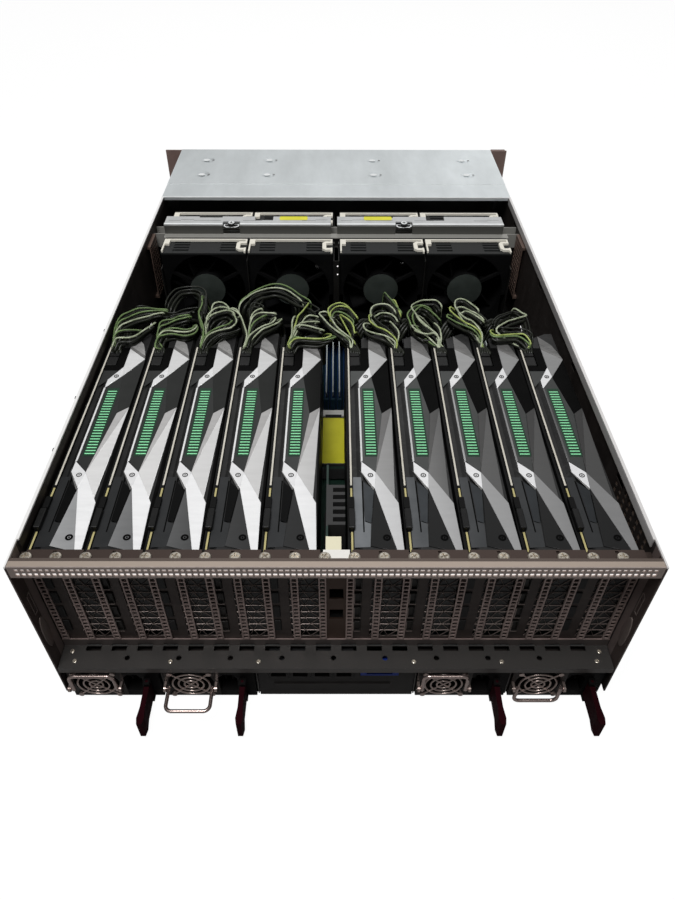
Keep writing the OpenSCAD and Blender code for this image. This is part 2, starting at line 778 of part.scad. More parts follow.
// Bail handle, drawn straight out from its pivot
module bail() {
    corner = 5;
    for (s = [-1, 1]) {
        // Pivot pin, leg and rounded corner
        x_cylinder([s * (handle_half + 1.9) - 1.9, 0, 0], 1, 3.8);
        y_cylinder([s * handle_half, -(handle_l - corner), 0], handle_r, handle_l - corner + handle_r);
        translate([s * (handle_half - corner), -(handle_l - corner), 0])
            rotate([0, 0, s > 0 ? -90 : 180]) rotate_extrude(angle = 90)
                translate([corner, 0]) circle(r = handle_r, $fn = 24);
    }
    x_cylinder([-(handle_half - corner), -handle_l, 0], handle_r, 2 * (handle_half - corner));
}

module psu_handle(i) color("#c2a9a2") from_rear()
    translate([psu_left[i] + psu_fan_x, handle_y, psu_fan_z]) rotate([-handle_rest[i], 0, 0]) bail();

module psu_tab(i) color("#5c1420") from_rear() translate([psu_left[i] + tab_x, 1, tab_z]) {
    // Blade with a chamfered, slightly thickened tip
    linear_extrude(height = tab_h) polygon([
        [-2.2, 1.6], [2.2, 1.6], [2, -20], [3, -29], [2, 1 - reach - 2], [-2, 1 - reach - 2],
        [-3, -29], [-2, -20]
    ]);
    translate([0, 0, -3.4]) cylinder(r = 1.2, h = tab_h + 6.8);
}

module psu_rotor(i) color("#303030") from_rear()
    translate([psu_left[i] + psu_fan_x, psu_y + 4.5, psu_fan_z]) mirror([0, 1, 0])
        translate([0, -12.4, 0]) impeller(8, 17.6, 10, 7, 50, 1);

/* ---- Front: drives, cover, grille and ears ---- */

cage_w = 209.6;

module drive_cage() color("#8f9398") from_rear() {
    block([-cage_w, cage_y, cage_z], [cage_w, front_y, cage_z + sheet]);
    for (s = [0, 1]) mirror([s, 0, 0]) {
        block([cage_w - sheet, cage_y, cage_z + sheet], [cage_w, front_y, 175]);
        // Feet that hang the cage from the side walls
        block([cage_w, cage_y, cage_z], [inner_w, cage_y + 20, cage_z + sheet]);
        block([cage_w, front_y - 20, cage_z], [inner_w, front_y, cage_z + sheet]);
    }
    block([-cage_w + sheet, cage_y, 173.8], [cage_w - sheet, front_y, 175]);
    // Drive backplane with one socket per bay
    block([-cage_w + sheet, cage_y, cage_z + sheet], [cage_w - sheet, cage_y + 2, 173.8]);
    for (k = [0 : carrier_count - 1])
        block([carrier_x(k) - 3, cage_y + 2, 120], [carrier_x(k) + 3, cage_y + 8, 150]);
}

function carrier_x(k) = (k - (carrier_count - 1) / 2) * carrier_pitch;

// Carrier with its drive, bezel, lever and vents
module carrier(x) {
    block([x - 7, cage_y + 8, cage_z + sheet], [x + 7, front_y, 171]);
    difference() {
        block([x - 8.3, front_y, 95], [x + 8.3, front_y + 4, 173]);
        for (j = [0 : 7]) block([x - 5, front_y + 2, 108 + j * 5], [x + 2, front_y + 5, 110.5 + j * 5]);
    }
    block([x - 6, front_y + 4, 152], [x + 3, front_y + 8, 170]);
    block([x + 4, front_y + 4, 100], [x + 7, front_y + 7, 168]);
}

module drive_carriers() color("#242426") from_rear() {
    for (k = [0 : carrier_count - 1]) carrier(carrier_x(k));
}

dimple_x = [-176.6, -90.3, 51, 174];
dimple_y = [648, 698];
step_y = 618;

module drive_cover() color("#c4c9cc") from_rear() {
    difference() {
        union() {
            block([-half_w, step_y, body_h - sheet], [half_w, body_d, body_h]);
            block([-half_w, cover_y, body_h - sheet - 0.5], [half_w, step_y, body_h - 0.5]);
            // Hem along the rear edge
            block([-inner_w + 1.5, cover_y, body_h - 4.6], [inner_w - 1.5, cover_y + sheet, body_h - sheet]);
            for (x = dimple_x, y = dimple_y)
                translate([x, y, body_h - sheet - 1.4]) cylinder(r1 = 6, r2 = 10, h = 1.5);
        }
        for (x = dimple_x, y = dimple_y)
            translate([x, y, body_h - 1.4]) cylinder(r1 = 5.2, r2 = 9.3, h = 1.41);
        // The walls' top edges stand inside the fold
        for (s = [-1, 1])
            block([s * (half_w - sheet / 2) - 0.8, cover_y - 1, body_h - 5],
                  [s * (half_w - sheet / 2) + 0.8, step_y, body_h - sheet]);
    }
}

grille_row = 15.1;

module front_grille() color("#2e2e30") from_rear() {
    for (j = [0 : 5]) xz_plate(front_y, 2) difference() {
        translate([-inner_w, sheet + j * grille_row]) square([2 * inner_w, grille_row]);
        for (i = [-15 : 15])
            translate([i * 13.4 + (j % 2) * 6.7 - 3.3, sheet + (j + 0.5) * grille_row])
                circle(r = 6.4, $fn = 6);
    }
    // Return flanges
    block([-inner_w, front_y - 10, 91.6], [inner_w, front_y, 92.8]);
}

ear_w = 241.3;
ear_t = 2.5;
ear_slot_x = 232.55;
ear_slot_z = [body_h / 2 - 50.8, body_h / 2 + 50.8];
grip_x = 224.5;

// Right-hand ear; the left one is its mirror image
module ear() {
    difference() {
        block([half_w, body_d - ear_t, 0.5], [ear_w, body_d, body_h - 0.5]);
        for (z = ear_slot_z) {
            for (dx = [-1.8, 1.8]) y_cylinder([ear_slot_x + dx, body_d - ear_t - 1, z], 3.4, ear_t + 2);
            block([ear_slot_x - 1.8, body_d - ear_t - 1, z - 3.4], [ear_slot_x + 1.8, body_d + 1, z + 3.4]);
        }
    }
    // Flange screwed to the side wall
    block([half_w, body_d - 40, 8], [half_w + 1.5, body_d - ear_t, body_h - 8]);
    // Pull handle, a flat bow
    yz_plate(grip_x - 4, 8) difference() {
        translate([body_d, 54]) bow_outline(reach, 68, 12);
        translate([body_d - 1, 62]) bow_outline(reach - 7, 52, 7);
    }
}

// Rectangle with the two far corners rounded
module bow_outline(w, h, r) {
    square([w - r, h]);
    translate([0, r]) square([w, h - 2 * r]);
    for (z = [r, h - r]) translate([w - r, z]) circle(r = r);
}

module ear_left() color("#5d4a44") from_rear() mirror([1, 0, 0]) ear();

button_z = 163;

module ear_right() color("#5d4a44") from_rear() {
    ear();
    // Control panel with the power button's well
    difference() {
        block([220.5, body_d, 150], [240.3, body_d + 8, 176]);
        y_cylinder([230.4, body_d + 3, button_z], 5.1, 6);
    }
}

module power_button() color("#cfd3d6") from_rear()
    y_cylinder([230.4, body_d + 4.6, button_z], 4.8, 4.4);

chassis_tray();
slot_wall();
top_rail();
gpu_tray();
gpu_baseboard();
gpu_boards();
gpu_shrouds();
gpu_trims();
gpu_brackets();
network_card();
power_leads();
power_board();
main_board();
cpu_coolers();
memory_modules();
io_panel();
fan_cage();
drive_cage();
drive_carriers();
drive_cover();
front_grille();
ear_left();
ear_right();
power_button();
for (i = [0 : 3]) {
    psu_case(i);
    psu_handle(i);
    psu_tab(i);
    psu_rotor(i);
}
for (i = [0 : 7]) {
    fan_module(i);
    fan_rotor(i);
}
for (i = [0 : 1]) {
    retainer_bar(i);
    bar_latch(i);
}
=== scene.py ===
"""Looks for the four-unit graphics server: finishes, fittings, power leads, screws and the studio."""

import math
import random

import bpy
from mathutils import Euler, Matrix, Vector


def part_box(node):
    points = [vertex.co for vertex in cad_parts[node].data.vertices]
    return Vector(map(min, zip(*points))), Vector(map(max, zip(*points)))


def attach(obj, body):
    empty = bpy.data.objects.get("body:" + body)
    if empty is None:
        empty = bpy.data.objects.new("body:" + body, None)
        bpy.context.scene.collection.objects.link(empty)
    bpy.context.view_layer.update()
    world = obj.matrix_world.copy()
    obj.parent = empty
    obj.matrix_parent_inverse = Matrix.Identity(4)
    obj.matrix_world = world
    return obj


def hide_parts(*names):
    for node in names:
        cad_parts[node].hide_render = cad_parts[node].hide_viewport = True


bl_info = {
    "name": "Graphics Server Looks",
    "version": (1, 0, 0),
    "blender": (4, 5, 0),
    "location": "View3D > Sidebar > Server",
    "description": "Finishes and fine fittings for a rack server with ten graphics cards",
    "category": "Object",
}

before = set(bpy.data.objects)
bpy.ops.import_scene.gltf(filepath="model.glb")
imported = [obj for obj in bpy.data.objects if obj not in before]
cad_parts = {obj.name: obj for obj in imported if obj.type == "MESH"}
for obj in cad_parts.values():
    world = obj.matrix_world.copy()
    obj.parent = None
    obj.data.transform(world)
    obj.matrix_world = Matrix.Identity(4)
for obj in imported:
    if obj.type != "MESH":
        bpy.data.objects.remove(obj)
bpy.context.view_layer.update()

# The rear face and the slot pitch set every place below, in millimetres from the rear face
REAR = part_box("top_rail")[0][1]
PITCH = 20.32
CARD_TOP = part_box("gpu_shrouds")[1][2] * 1000
BOARDS = [n * PITCH - 10 for n in (-10, -8, -6, -4, -2, 1, 3, 5, 7, 9)]
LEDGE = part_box("gpu_brackets")[1][2] * 1000
RAIL_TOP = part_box("top_rail")[1][2] * 1000
# Width from wall to wall that a finish's painted light and shade runs over
SPAN = 440
# Past every side of the server: a painted zone with no limit there
FAR = 9000


def at(x, y, z):
    """Millimetres from the rear face to a place in metres."""
    return Vector((x / 1000, REAR + y / 1000, z / 1000))


def corners(node):
    """Lowest and highest corner of a CAD node, in millimetres from the rear face."""
    low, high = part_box(node)
    return [(p[0] * 1000, (p[1] - REAR) * 1000, p[2] * 1000) for p in (low, high)]


def ring_points(x, y, radius, sides, squash=1.0):
    """The corners of a round outline in plan."""
    turns = [k * 2 * math.pi / sides for k in range(sides)]
    return [(x + radius * math.cos(a), y + radius * squash * math.sin(a)) for a in turns]


# ---- Finishes ----


def mask_group(name, **inputs):
    """A shader group that puts out a mask: its tree and its entry, exit and coordinate nodes."""
    tree = bpy.data.node_groups.new(name, "ShaderNodeTree")
    for key, value in inputs.items():
        kind = "NodeSocketVector" if isinstance(value, tuple) else "NodeSocketFloat"
        made = tree.interface.new_socket(name=key.capitalize(), in_out="INPUT", socket_type=kind)
        made.default_value = value
    tree.interface.new_socket(name="Mask", in_out="OUTPUT", socket_type="NodeSocketFloat")
    nodes = tree.nodes
    entry, leave = nodes.new("NodeGroupInput"), nodes.new("NodeGroupOutput")
    return tree, nodes, tree.links, entry, leave, nodes.new("ShaderNodeTexCoord")


def effect_streaks():
    """Soft streaks and clouding, as on rolled or brushed sheet."""
    tree, nodes, links, entry, leave, place = mask_group("sheet_streaks", stretch=(1.0, 1.0, 1.0), scale=20.0)
    stretch = nodes.new("ShaderNodeVectorMath")
    stretch.operation = "MULTIPLY"
    noise = nodes.new("ShaderNodeTexNoise")
    noise.inputs["Detail"].default_value = 4.0
    noise.inputs["Roughness"].default_value = 0.6
    span = nodes.new("ShaderNodeMapRange")
    span.inputs["From Min"].default_value = 0.32
    span.inputs["From Max"].default_value = 0.68
    links.new(place.outputs["Object"], stretch.inputs[0])
    links.new(entry.outputs["Stretch"], stretch.inputs[1])
    links.new(stretch.outputs[0], noise.inputs["Vector"])
    links.new(entry.outputs["Scale"], noise.inputs["Scale"])
    links.new(noise.outputs["Fac"], span.inputs["Value"])
    links.new(span.outputs["Result"], leave.inputs["Mask"])
    return tree


def effect_specks():
    """Sparse specks: dust, scuffs and handling marks."""
    tree, nodes, links, entry, leave, place = mask_group("dust_specks", scale=200.0, threshold=0.62)
    noise = nodes.new("ShaderNodeTexNoise")
    noise.inputs["Detail"].default_value = 3.0
    span = nodes.new("ShaderNodeMapRange")
    span.inputs["From Max"].default_value = 0.8
    links.new(place.outputs["Object"], noise.inputs["Vector"])
    links.new(entry.outputs["Scale"], noise.inputs["Scale"])
    links.new(noise.outputs["Fac"], span.inputs["Value"])
    links.new(entry.outputs["Threshold"], span.inputs["From Min"])
    links.new(span.outputs["Result"], leave.inputs["Mask"])
    return tree


def effect_zone():
    """One inside a box given by two corners, nought outside it."""
    limits = {"low": (-9.0, -9.0, -9.0), "high": (9.0, 9.0, 9.0)}
    tree, nodes, links, entry, leave, place = mask_group("zone_box", **limits)
    last = None
    parts = []
    for source in (place.outputs["Object"], entry.outputs["Low"], entry.outputs["High"]):
        split = nodes.new("ShaderNodeSeparateXYZ")
        links.new(source, split.inputs[0])
        parts.append(split)
    for axis in range(3):
        for limit, operation in ((1, "GREATER_THAN"), (2, "LESS_THAN")):
            test = nodes.new("ShaderNodeMath")
            test.operation = operation
            links.new(parts[0].outputs[axis], test.inputs[0])
            links.new(parts[limit].outputs[axis], test.inputs[1])
            if last is None:
                last = test
                continue
            both = nodes.new("ShaderNodeMath")
            both.operation = "MULTIPLY"
            links.new(last.outputs[0], both.inputs[0])
            links.new(test.outputs[0], both.inputs[1])
            last = both
    links.new(last.outputs[0], leave.inputs["Mask"])
    return tree


def effect_across():
    """Nought at the left wall, one at the right wall: the mask for light and shade painted across the cards.
    """
    tree, nodes, links, _, leave, place = mask_group("painted_light_across")
    split = nodes.new("ShaderNodeSeparateXYZ")
    span = nodes.new("ShaderNodeMapRange")
    span.inputs["From Min"].default_value = -SPAN / 2000
    span.inputs["From Max"].default_value = SPAN / 2000
    links.new(place.outputs["Object"], split.inputs[0])
    links.new(split.outputs["X"], span.inputs["Value"])
    links.new(span.outputs["Result"], leave.inputs["Mask"])
    return tree


EFFECTS = {}


def effect(name):
    """The shader group of an effect, built the first time it is asked for."""
    if name not in EFFECTS:
        makers = (effect_streaks, effect_specks, effect_zone, effect_across)
        EFFECTS[name] = {maker.__name__: maker for maker in makers}["effect_" + name]()
    return EFFECTS[name]


def group_node(nodes, name, **values):
    made = nodes.new("ShaderNodeGroup")
    made.node_tree = effect(name)
    for key, value in values.items():
        made.inputs[key.capitalize()].default_value = value
    return made


def feed(links, socket, value):
    """Links a socket to another, or gives it a plain value."""
    if isinstance(value, bpy.types.NodeSocket):
        links.new(value, socket)
    else:
        socket.default_value = value


def blend_colours(nodes, links, mask, first, second, share=1.0):
    """Mixes two colours by a mask; each is a colour or an output socket."""
    made = nodes.new("ShaderNodeMix")
    made.data_type = "RGBA"
    if share < 1.0:
        scale = nodes.new("ShaderNodeMath")
        scale.operation = "MULTIPLY"
        scale.inputs[1].default_value = share
        links.new(mask, scale.inputs[0])
        mask = scale.outputs[0]
    links.new(mask, made.inputs["Factor"])
    for socket, value in ((made.inputs[6], first), (made.inputs[7], second)):
        feed(links, socket, value if isinstance(value, bpy.types.NodeSocket) else (*value, 1.0))
    return made.outputs[2]


def blend_values(nodes, links, mask, first, second):
    made = nodes.new("ShaderNodeMix")
    links.new(mask, made.inputs["Factor"])
    for socket, value in ((made.inputs[2], first), (made.inputs[3], second)):
        feed(links, socket, value)
    return made.outputs[0]


def finish(name, colour, other, metallic=0.0, rough=(0.4, 0.55), scale=25.0, stretch=(1, 1, 1), grain=1400.0,
           bump=0.12, dust=0.0, dust_colour=(0.6, 0.58, 0.55), coat=0.0, spec=0.25, glow=None, across=(),
           zones=()):
    """A finish with clouding, grain and dust.

    Zones repaint parts of it, the later ones over the earlier; some give the thing's own colours, others
    paint light and shade.
    Across paints light and shade on it from wall to wall, standing in for reflections that differ from card
    to card: (millimetres from the middle, share), the two ends first.
    """
    made = bpy.data.materials.new(name)
    made.use_nodes = True
    nodes, links = made.node_tree.nodes, made.node_tree.links
    shader = nodes["Principled BSDF"]
    streaks = group_node(nodes, "streaks", stretch=stretch, scale=scale).outputs[0]
    colour_out = blend_colours(nodes, links, streaks, colour, other)
    rough_out = blend_values(nodes, links, streaks, rough[0], rough[1])
    metal_out = metallic
    if dust:
        specks = group_node(nodes, "specks", scale=260.0, threshold=0.56).outputs[0]
        colour_out = blend_colours(nodes, links, specks, colour_out, dust_colour, dust)
    for (low, high), paint, zone_rough, zone_metal in zones:
        mask = group_node(nodes, "zone", low=at(*low), high=at(*high)).outputs[0]
        colour_out = blend_colours(nodes, links, mask, colour_out, paint)
        rough_out = blend_values(nodes, links, mask, rough_out, zone_rough)
        if zone_metal != metallic or metal_out != metallic:
            metal_out = blend_values(nodes, links, mask, metal_out, zone_metal)
    # The across ramp multiplies the colour: light and shade painted from wall to wall
    if across:
        ramp = nodes.new("ShaderNodeValToRGB")
        for index, (x, share) in enumerate(across):
            stops = ramp.color_ramp.elements
            stop = stops[index] if index < 2 else stops.new(x / SPAN + 0.5)
            stop.position = x / SPAN + 0.5
            stop.color = (share, share, share, 1.0)
        links.new(group_node(nodes, "across").outputs[0], ramp.inputs[0])
        shade = nodes.new("ShaderNodeMix")
        shade.data_type = "RGBA"
        shade.blend_type = "MULTIPLY"
        shade.inputs["Factor"].default_value = 1.0
        links.new(colour_out, shade.inputs[6])
        links.new(ramp.outputs[0], shade.inputs[7])
        colour_out = shade.outputs[2]
    links.new(colour_out, shader.inputs["Base Color"])
    shader.inputs["Specular IOR Level"].default_value = spec
    links.new(rough_out, shader.inputs["Roughness"])
    feed(links, shader.inputs["Metallic"], metal_out)
    shader.inputs["Coat Weight"].default_value = coat
    shader.inputs["Coat Roughness"].default_value = 0.15
    if glow:
        shader.inputs["Emission Color"].default_value = (*glow[0], 1.0)
        shader.inputs["Emission Strength"].default_value = glow[1]
    if bump:
        fine = nodes.new("ShaderNodeTexNoise")
        fine.inputs["Scale"].default_value = grain
        fine.inputs["Detail"].default_value = 2.0
        place = nodes.new("ShaderNodeTexCoord")
        links.new(place.outputs["Object"], fine.inputs["Vector"])
        raise_node = nodes.new("ShaderNodeBump")
        raise_node.inputs["Strength"].default_value = bump
        raise_node.inputs["Distance"].default_value = 0.0003
        links.new(fine.outputs["Fac"], raise_node.inputs["Height"])
        links.new(raise_node.outputs["Normal"], shader.inputs["Normal"])
    return made


FINISHES = {}


def zone(colour, rough, metallic, x=(-FAR, FAR), y=(-FAR, FAR), z=(-FAR, FAR)):
    """A part of a finish, painted otherwise between two places on each axis."""
    return tuple(zip(x, y, z)), colour, rough, metallic


def grey(shade):
    return (shade, shade, shade)


def make_finishes():
    """Every finish of the object, by name."""
    look = bpy.context.scene.server_finish
    steel = tuple(look.rear_colour)
    dark = tuple(c * 0.7 for c in steel)

    def add(name, *values, **options):
        FINISHES[name] = finish(name, *values, **options)

    # The first three zones are painted highlights: the tops of both walls' hems and the right hem's inner
    # face
    add("body_steel", (0.028, 0.023, 0.021), (0.045, 0.037, 0.034), 0.4, (0.42, 0.58), 9.0, (1, 6, 1),
        dust=0.04,
        zones=[zone((0.93, 0.92, 0.91), 0.4, 0.3, x=(-FAR, -200), z=(176.6, FAR)),
               zone((0.8, 0.78, 0.77), 0.4, 0.4, x=(200, FAR), z=(176.6, FAR)),
               zone((0.62, 0.6, 0.59), 0.4, 0.5, x=(200, 217), y=(21, FAR), z=(170, 176.7)),
               zone((0.075, 0.056, 0.051), 0.42, 0.5, y=(-FAR, 20.4), z=(50, 176.5)),
               zone((0.2, 0.16, 0.15), 0.42, 0.5, y=(12, 20.4), z=(50, 176.5))])
    add("rear_steel", dark, steel, 0.45, (0.34, 0.5), 14.0, (6, 1, 1), dust=0.1,
        zones=[zone((0.10, 0.085, 0.08), 0.42, 0.5, y=(20, 22), z=(50, 58.9))])
    add("rail_steel", (0.42, 0.35, 0.32), (0.52, 0.44, 0.40), 0.6, (0.3, 0.44), 16.0, (8, 1, 1), dust=0.1,
        zones=[zone((0.07, 0.052, 0.045), 0.4, 0.7, y=(7.0, 30), z=(160, 168)),
               zone((0.46, 0.38, 0.32), 0.38, 0.5, y=(0.8, 9), z=(177, 179)),
               zone((0.125, 0.098, 0.085), 0.38, 0.5, y=(5.1, 9.5), z=(177, 179)),
               zone((0.27, 0.22, 0.2), 0.38, 0.5, y=(-FAR, 0.5), z=(160, 177.4))])
    # Painted reflection: the across ramp makes the cover brighter towards the right wall, where it catches
    # more light
    add("zinc_sheet", (0.62, 0.66, 0.67), (0.80, 0.845, 0.86), 0.5, (0.28, 0.42), 7.0, (3, 1, 1), bump=0.05,
        across=((-215, 0.84), (215, 1.16), (0, 0.92), (100, 0.98)))
    # Its zone below the top is painted shade on the bar's turned-down front edge
    add("bar_zinc", (0.50, 0.51, 0.51), (0.60, 0.61, 0.61), 0.5, (0.3, 0.42), 18.0, (4, 1, 1), bump=0.04,
        zones=[zone((0.12, 0.12, 0.112), 0.4, 0.6, z=(0, 174.9))])
    add("card_tray", grey(0.1), (0.14, 0.14, 0.135), 0.6, (0.35, 0.5), 12.0,
        zones=[zone((0.07, 0.066, 0.063), 0.36, 0.6, y=(-FAR, 20.5), z=(0, 51.2)),
               zone((0.075, 0.068, 0.064), 0.4, 0.6, y=(-FAR, 1.3), z=(0, 49.0))])
    add("base_board", (0.006, 0.02, 0.014), (0.01, 0.032, 0.022), 0.0, (0.4, 0.55), 90.0,
        zones=[zone(grey(0.012), 0.5, 0.0, y=(0, FAR), z=(54.0, FAR))])
    add("card_board", grey(0.006), grey(0.012), 0.1, (0.4, 0.55), 60.0, spec=0.08,
        zones=[zone(grey(0.006), 0.5, 0.0, y=(41, 76), z=(165.6, 171)),
               zone((0.35, 0.24, 0.08), 0.35, 0.9, y=(0, FAR), z=(0, 64.0))])
    # The across ramp paints light and shade on the shroud, changing from card to card
    add("card_shroud", grey(0.012), grey(0.02), 0.0, (0.36, 0.5), 30.0, bump=0.08, spec=0.2,
        dust=0.02, across=((-215, 0.7), (215, 1.0), (30, 1.5)))
    add("bracket_plate", (0.03, 0.022, 0.02), (0.05, 0.04, 0.036), 0.5, (0.36, 0.5), 30.0, (1, 1, 4),
        zones=[zone((0.085, 0.062, 0.054), 0.35, 0.7, z=(166.5, FAR))])
    add("bracket_wire", (0.15, 0.12, 0.11), (0.2, 0.165, 0.15), 0.5, (0.34, 0.46), 30.0)
    add("network_board", (0.015, 0.03, 0.025), (0.025, 0.045, 0.036), 0.0, (0.4, 0.5), 60.0,
        zones=[zone((0.05, 0.03, 0.022), 0.42, 0.5, y=(20, 23.1), z=(0, FAR)),
               zone((0.8, 0.78, 0.74), 0.4, 0.2, y=(0, 23.1), z=(166.9, FAR)),
               zone((0.72, 0.68, 0.5), 0.5, 0.0, x=(-7.6, 3.6), y=(24, 39.2), z=(145, 164)),
               zone(grey(0.06), 0.4, 0.6, x=(-7.6, 9), y=(49, 91), z=(117, 164)),
               zone(grey(0.02), 0.35, 0.6, x=(-5.9, 9), y=(23.1, 44.2), z=(84, 126))])
    add("duct_plastic", grey(0.006), grey(0.012), 0.0, (0.45, 0.6), 40.0,
        zones=[zone((0.82, 0.82, 0.78), 0.45, 0.0, x=(-16.6, 10.1), y=(311.5, 322.2), z=(38.5, 44.2))])
    add("main_board", (0.006, 0.02, 0.017), (0.01, 0.03, 0.024), 0.0, (0.4, 0.55), 120.0)
    add("fin_metal", (0.2, 0.205, 0.21), (0.3, 0.305, 0.31), 0.8, (0.3, 0.45), 30.0)
    # The light grey tops of the modules are painted highlights
    add("memory_module", (0.02, 0.05, 0.075), (0.03, 0.075, 0.11), 0.0, (0.35, 0.5), 70.0,
        zones=[zone((0.55, 0.6, 0.6), 0.35, 0.3, y=(0, FAR), z=(38.0, 44.2)),
               zone((0.01, 0.03, 0.09), 0.4, 0.0, y=(0, FAR), z=(9.0, 17.0))])
    add("panel_black", (0.012, 0.0105, 0.01), (0.02, 0.018, 0.017), 0.3, (0.4, 0.55), 30.0, spec=0.12,
        zones=[zone((0.05, 0.05, 0.052), 0.35, 0.8, x=(-FAR, 18), y=(6.3, 30), z=(9, 50)),
               zone((0.01, 0.03, 0.2), 0.4, 0.0, x=(19.4, 50.1), y=(4.4, 16.1), z=(31.9, 43.2))])
    # The first zone paints light on the cage's face between the fan rows, which lies in the bars' shadow
    add("cage_steel", (0.010, 0.0095, 0.009), (0.018, 0.017, 0.016), 0.4, (0.42, 0.56), 20.0,
        zones=[zone((0.34, 0.335, 0.31), 0.45, 0.3, y=(493, 522.2), z=(147.5, FAR)),
               zone((0.16, 0.11, 0.09), 0.4, 0.4, x=(205, FAR), y=(460, 500), z=(100, 170)),
               zone((0.16, 0.11, 0.09), 0.4, 0.4, x=(-FAR, -205), y=(460, 500), z=(100, 170))])
    add("fan_frame", (0.0025, 0.0025, 0.0027), (0.0045, 0.0045, 0.0047), 0.0, (0.42, 0.55), 40.0, spec=0.12,
        zones=[zone((0.022, 0.023, 0.023), 0.45, 0.0, z=(163.3, FAR)),
               zone((0.80, 0.77, 0.68), 0.5, 0.0, z=(CARD_TOP - 0.15, FAR))])
    add("fan_blade", (0.002, 0.002, 0.0022), (0.0035, 0.0035, 0.0037), 0.0, (0.4, 0.5), 40.0, spec=0.12)
    ports = []
    for index in range(1, 5):
        low, high = corners(f"psu_case_{index}")
        ports.append(zone((0.0015, 0.0012, 0.0012), 0.6, 0.0, x=(low[0] + 44, high[0] + 1), z=(-FAR, 39.8)))
    add("supply_case", (0.022, 0.019, 0.018), (0.036, 0.031, 0.029), 0.5, (0.36, 0.5), 20.0, (1, 1, 4),
        spec=0.1,
        zones=[zone((0.42, 0.34, 0.31), 0.28, 0.9, y=(-FAR, 3.7))] + ports)
    add("handle_wire", (0.36, 0.28, 0.26), (0.48, 0.39, 0.36), 0.9, (0.2, 0.32), 60.0)
    add("tab_plastic", (0.011, 0.001, 0.002), (0.018, 0.002, 0.004), 0.0, (0.6, 0.7), 50.0, spec=0.03)
    add("ear_steel", (0.2, 0.135, 0.12), (0.28, 0.2, 0.175), 0.3, (0.4, 0.55), 20.0)
    add("carrier_plastic", (0.02, 0.02, 0.021), (0.035, 0.035, 0.036), 0.1, (0.38, 0.5), 40.0)
    add("button_plastic", (0.7, 0.72, 0.74), (0.8, 0.82, 0.84), 0.0, (0.25, 0.35), 50.0, coat=0.4)
    # Fittings made here
    metal = dict(metallic=0.25, rough=(0.34, 0.46), scale=40.0, stretch=(1, 5, 1), bump=0.03)
    # The trim finishes are lit and shaded copies of one satin metal: each paints the light, shade and
    # reflection that its facets catch
    add("trim_bright", (0.74, 0.74, 0.745), (0.82, 0.82, 0.825), **metal)
    add("trim_tail", (0.86, 0.86, 0.865), (0.92, 0.92, 0.925), **metal,
        across=((-215, 1.0), (180, 0.24), (-30, 0.95), (30, 0.7), (85, 0.42)))
    add("trim_upper", (0.74, 0.735, 0.73), (0.8, 0.795, 0.79), **metal,
        across=((-215, 1.0), (180, 0.09), (-30, 0.75), (30, 0.42), (85, 0.16)))
    add("trim_side", (0.48, 0.47, 0.465), (0.54, 0.53, 0.525), **metal,
        across=((-215, 1.0), (180, 0.08), (-30, 0.75), (30, 0.32), (85, 0.15)))
    add("trim_foot", (0.38, 0.385, 0.39), (0.42, 0.425, 0.43), **metal,
        across=((-215, 1.0), (20, 0.03), (-150, 0.42), (-100, 0.16), (-60, 0.08)))
    add("trim_head", grey(0.70), grey(0.78), **metal,
        across=((-215, 1.0), (180, 0.34), (-30, 0.8), (30, 0.66), (85, 0.48)))
    add("trim_dusk", (0.26, 0.257, 0.252), (0.34, 0.336, 0.33), **metal,
        across=((-215, 1.1), (180, 0.45), (-30, 0.9), (30, 0.6), (85, 0.5)))
    add("trim_shade", (0.13, 0.128, 0.125), (0.2, 0.197, 0.193), **metal)
    add("trim_line", grey(0.80), grey(0.86), **metal,
        across=((-215, 1.0), (180, 0.14), (-30, 0.95), (30, 0.8), (85, 0.5)))
    # The shroud finishes paint the light and shade of facets and recesses, changing from card to card
    add("shroud_window", (0.036, 0.038, 0.037), (0.046, 0.048, 0.047), 0.0, (0.4, 0.5), 60.0, bump=0.02,
        across=((-215, 0.45), (215, 0.9), (-60, 0.6), (20, 1.6), (80, 1.3)))
    add("shroud_facet", (0.03, 0.031, 0.03), (0.036, 0.037, 0.036), 0.0, (0.5, 0.6), 60.0, bump=0.02,
        spec=0.05,
        across=((-215, 0.9), (215, 0.02), (-60, 0.7), (0, 0.05)))
    add("shroud_shoulder", (0.075, 0.08, 0.085), (0.1, 0.105, 0.11), 0.0, (0.4, 0.5), 60.0, bump=0.02,
        across=((-215, 0.15), (215, 0.2), (-20, 0.3), (18, 1.8), (60, 0.85), (110, 0.4)))
    add("shroud_recess", (0.03, 0.033, 0.036), (0.04, 0.044, 0.048), 0.0, (0.4, 0.5), 60.0, bump=0.0,
        spec=0.1,
        across=((-215, 0.02), (215, 0.5), (-20, 0.03), (18, 1.3), (110, 0.9)))
    add("slit_black", grey(0.001), grey(0.002), 0.0, (0.6, 0.7), 60.0, bump=0.0, spec=0.05)
    add("light_window", (0.008, 0.03, 0.016), (0.01, 0.04, 0.02), 0.0, (0.35, 0.45), 80.0, bump=0.0)
    add("light_bar", tuple(look.bar_colour), tuple(c * 0.9 for c in look.bar_colour), 0.0, (0.4, 0.5), 80.0,
        bump=0.0, glow=(tuple(look.bar_colour), 0.3))
    add("edge_beige", (0.52, 0.49, 0.42), (0.62, 0.59, 0.52), 0.0, (0.4, 0.5), 60.0, bump=0.0)
    add("edge_brass", (0.42, 0.37, 0.16), (0.52, 0.46, 0.22), 0.2, (0.4, 0.5), 60.0, bump=0.0)
    add("screw_zinc", (0.5, 0.45, 0.38), (0.66, 0.61, 0.53), 0.8, (0.22, 0.34), 200.0, bump=0.03)
    add("screw_black", grey(0.02), grey(0.05), 0.3, (0.3, 0.4), 200.0, bump=0.03)
    add("plug_black", grey(0.004), grey(0.008), 0.0, (0.4, 0.5), 80.0)
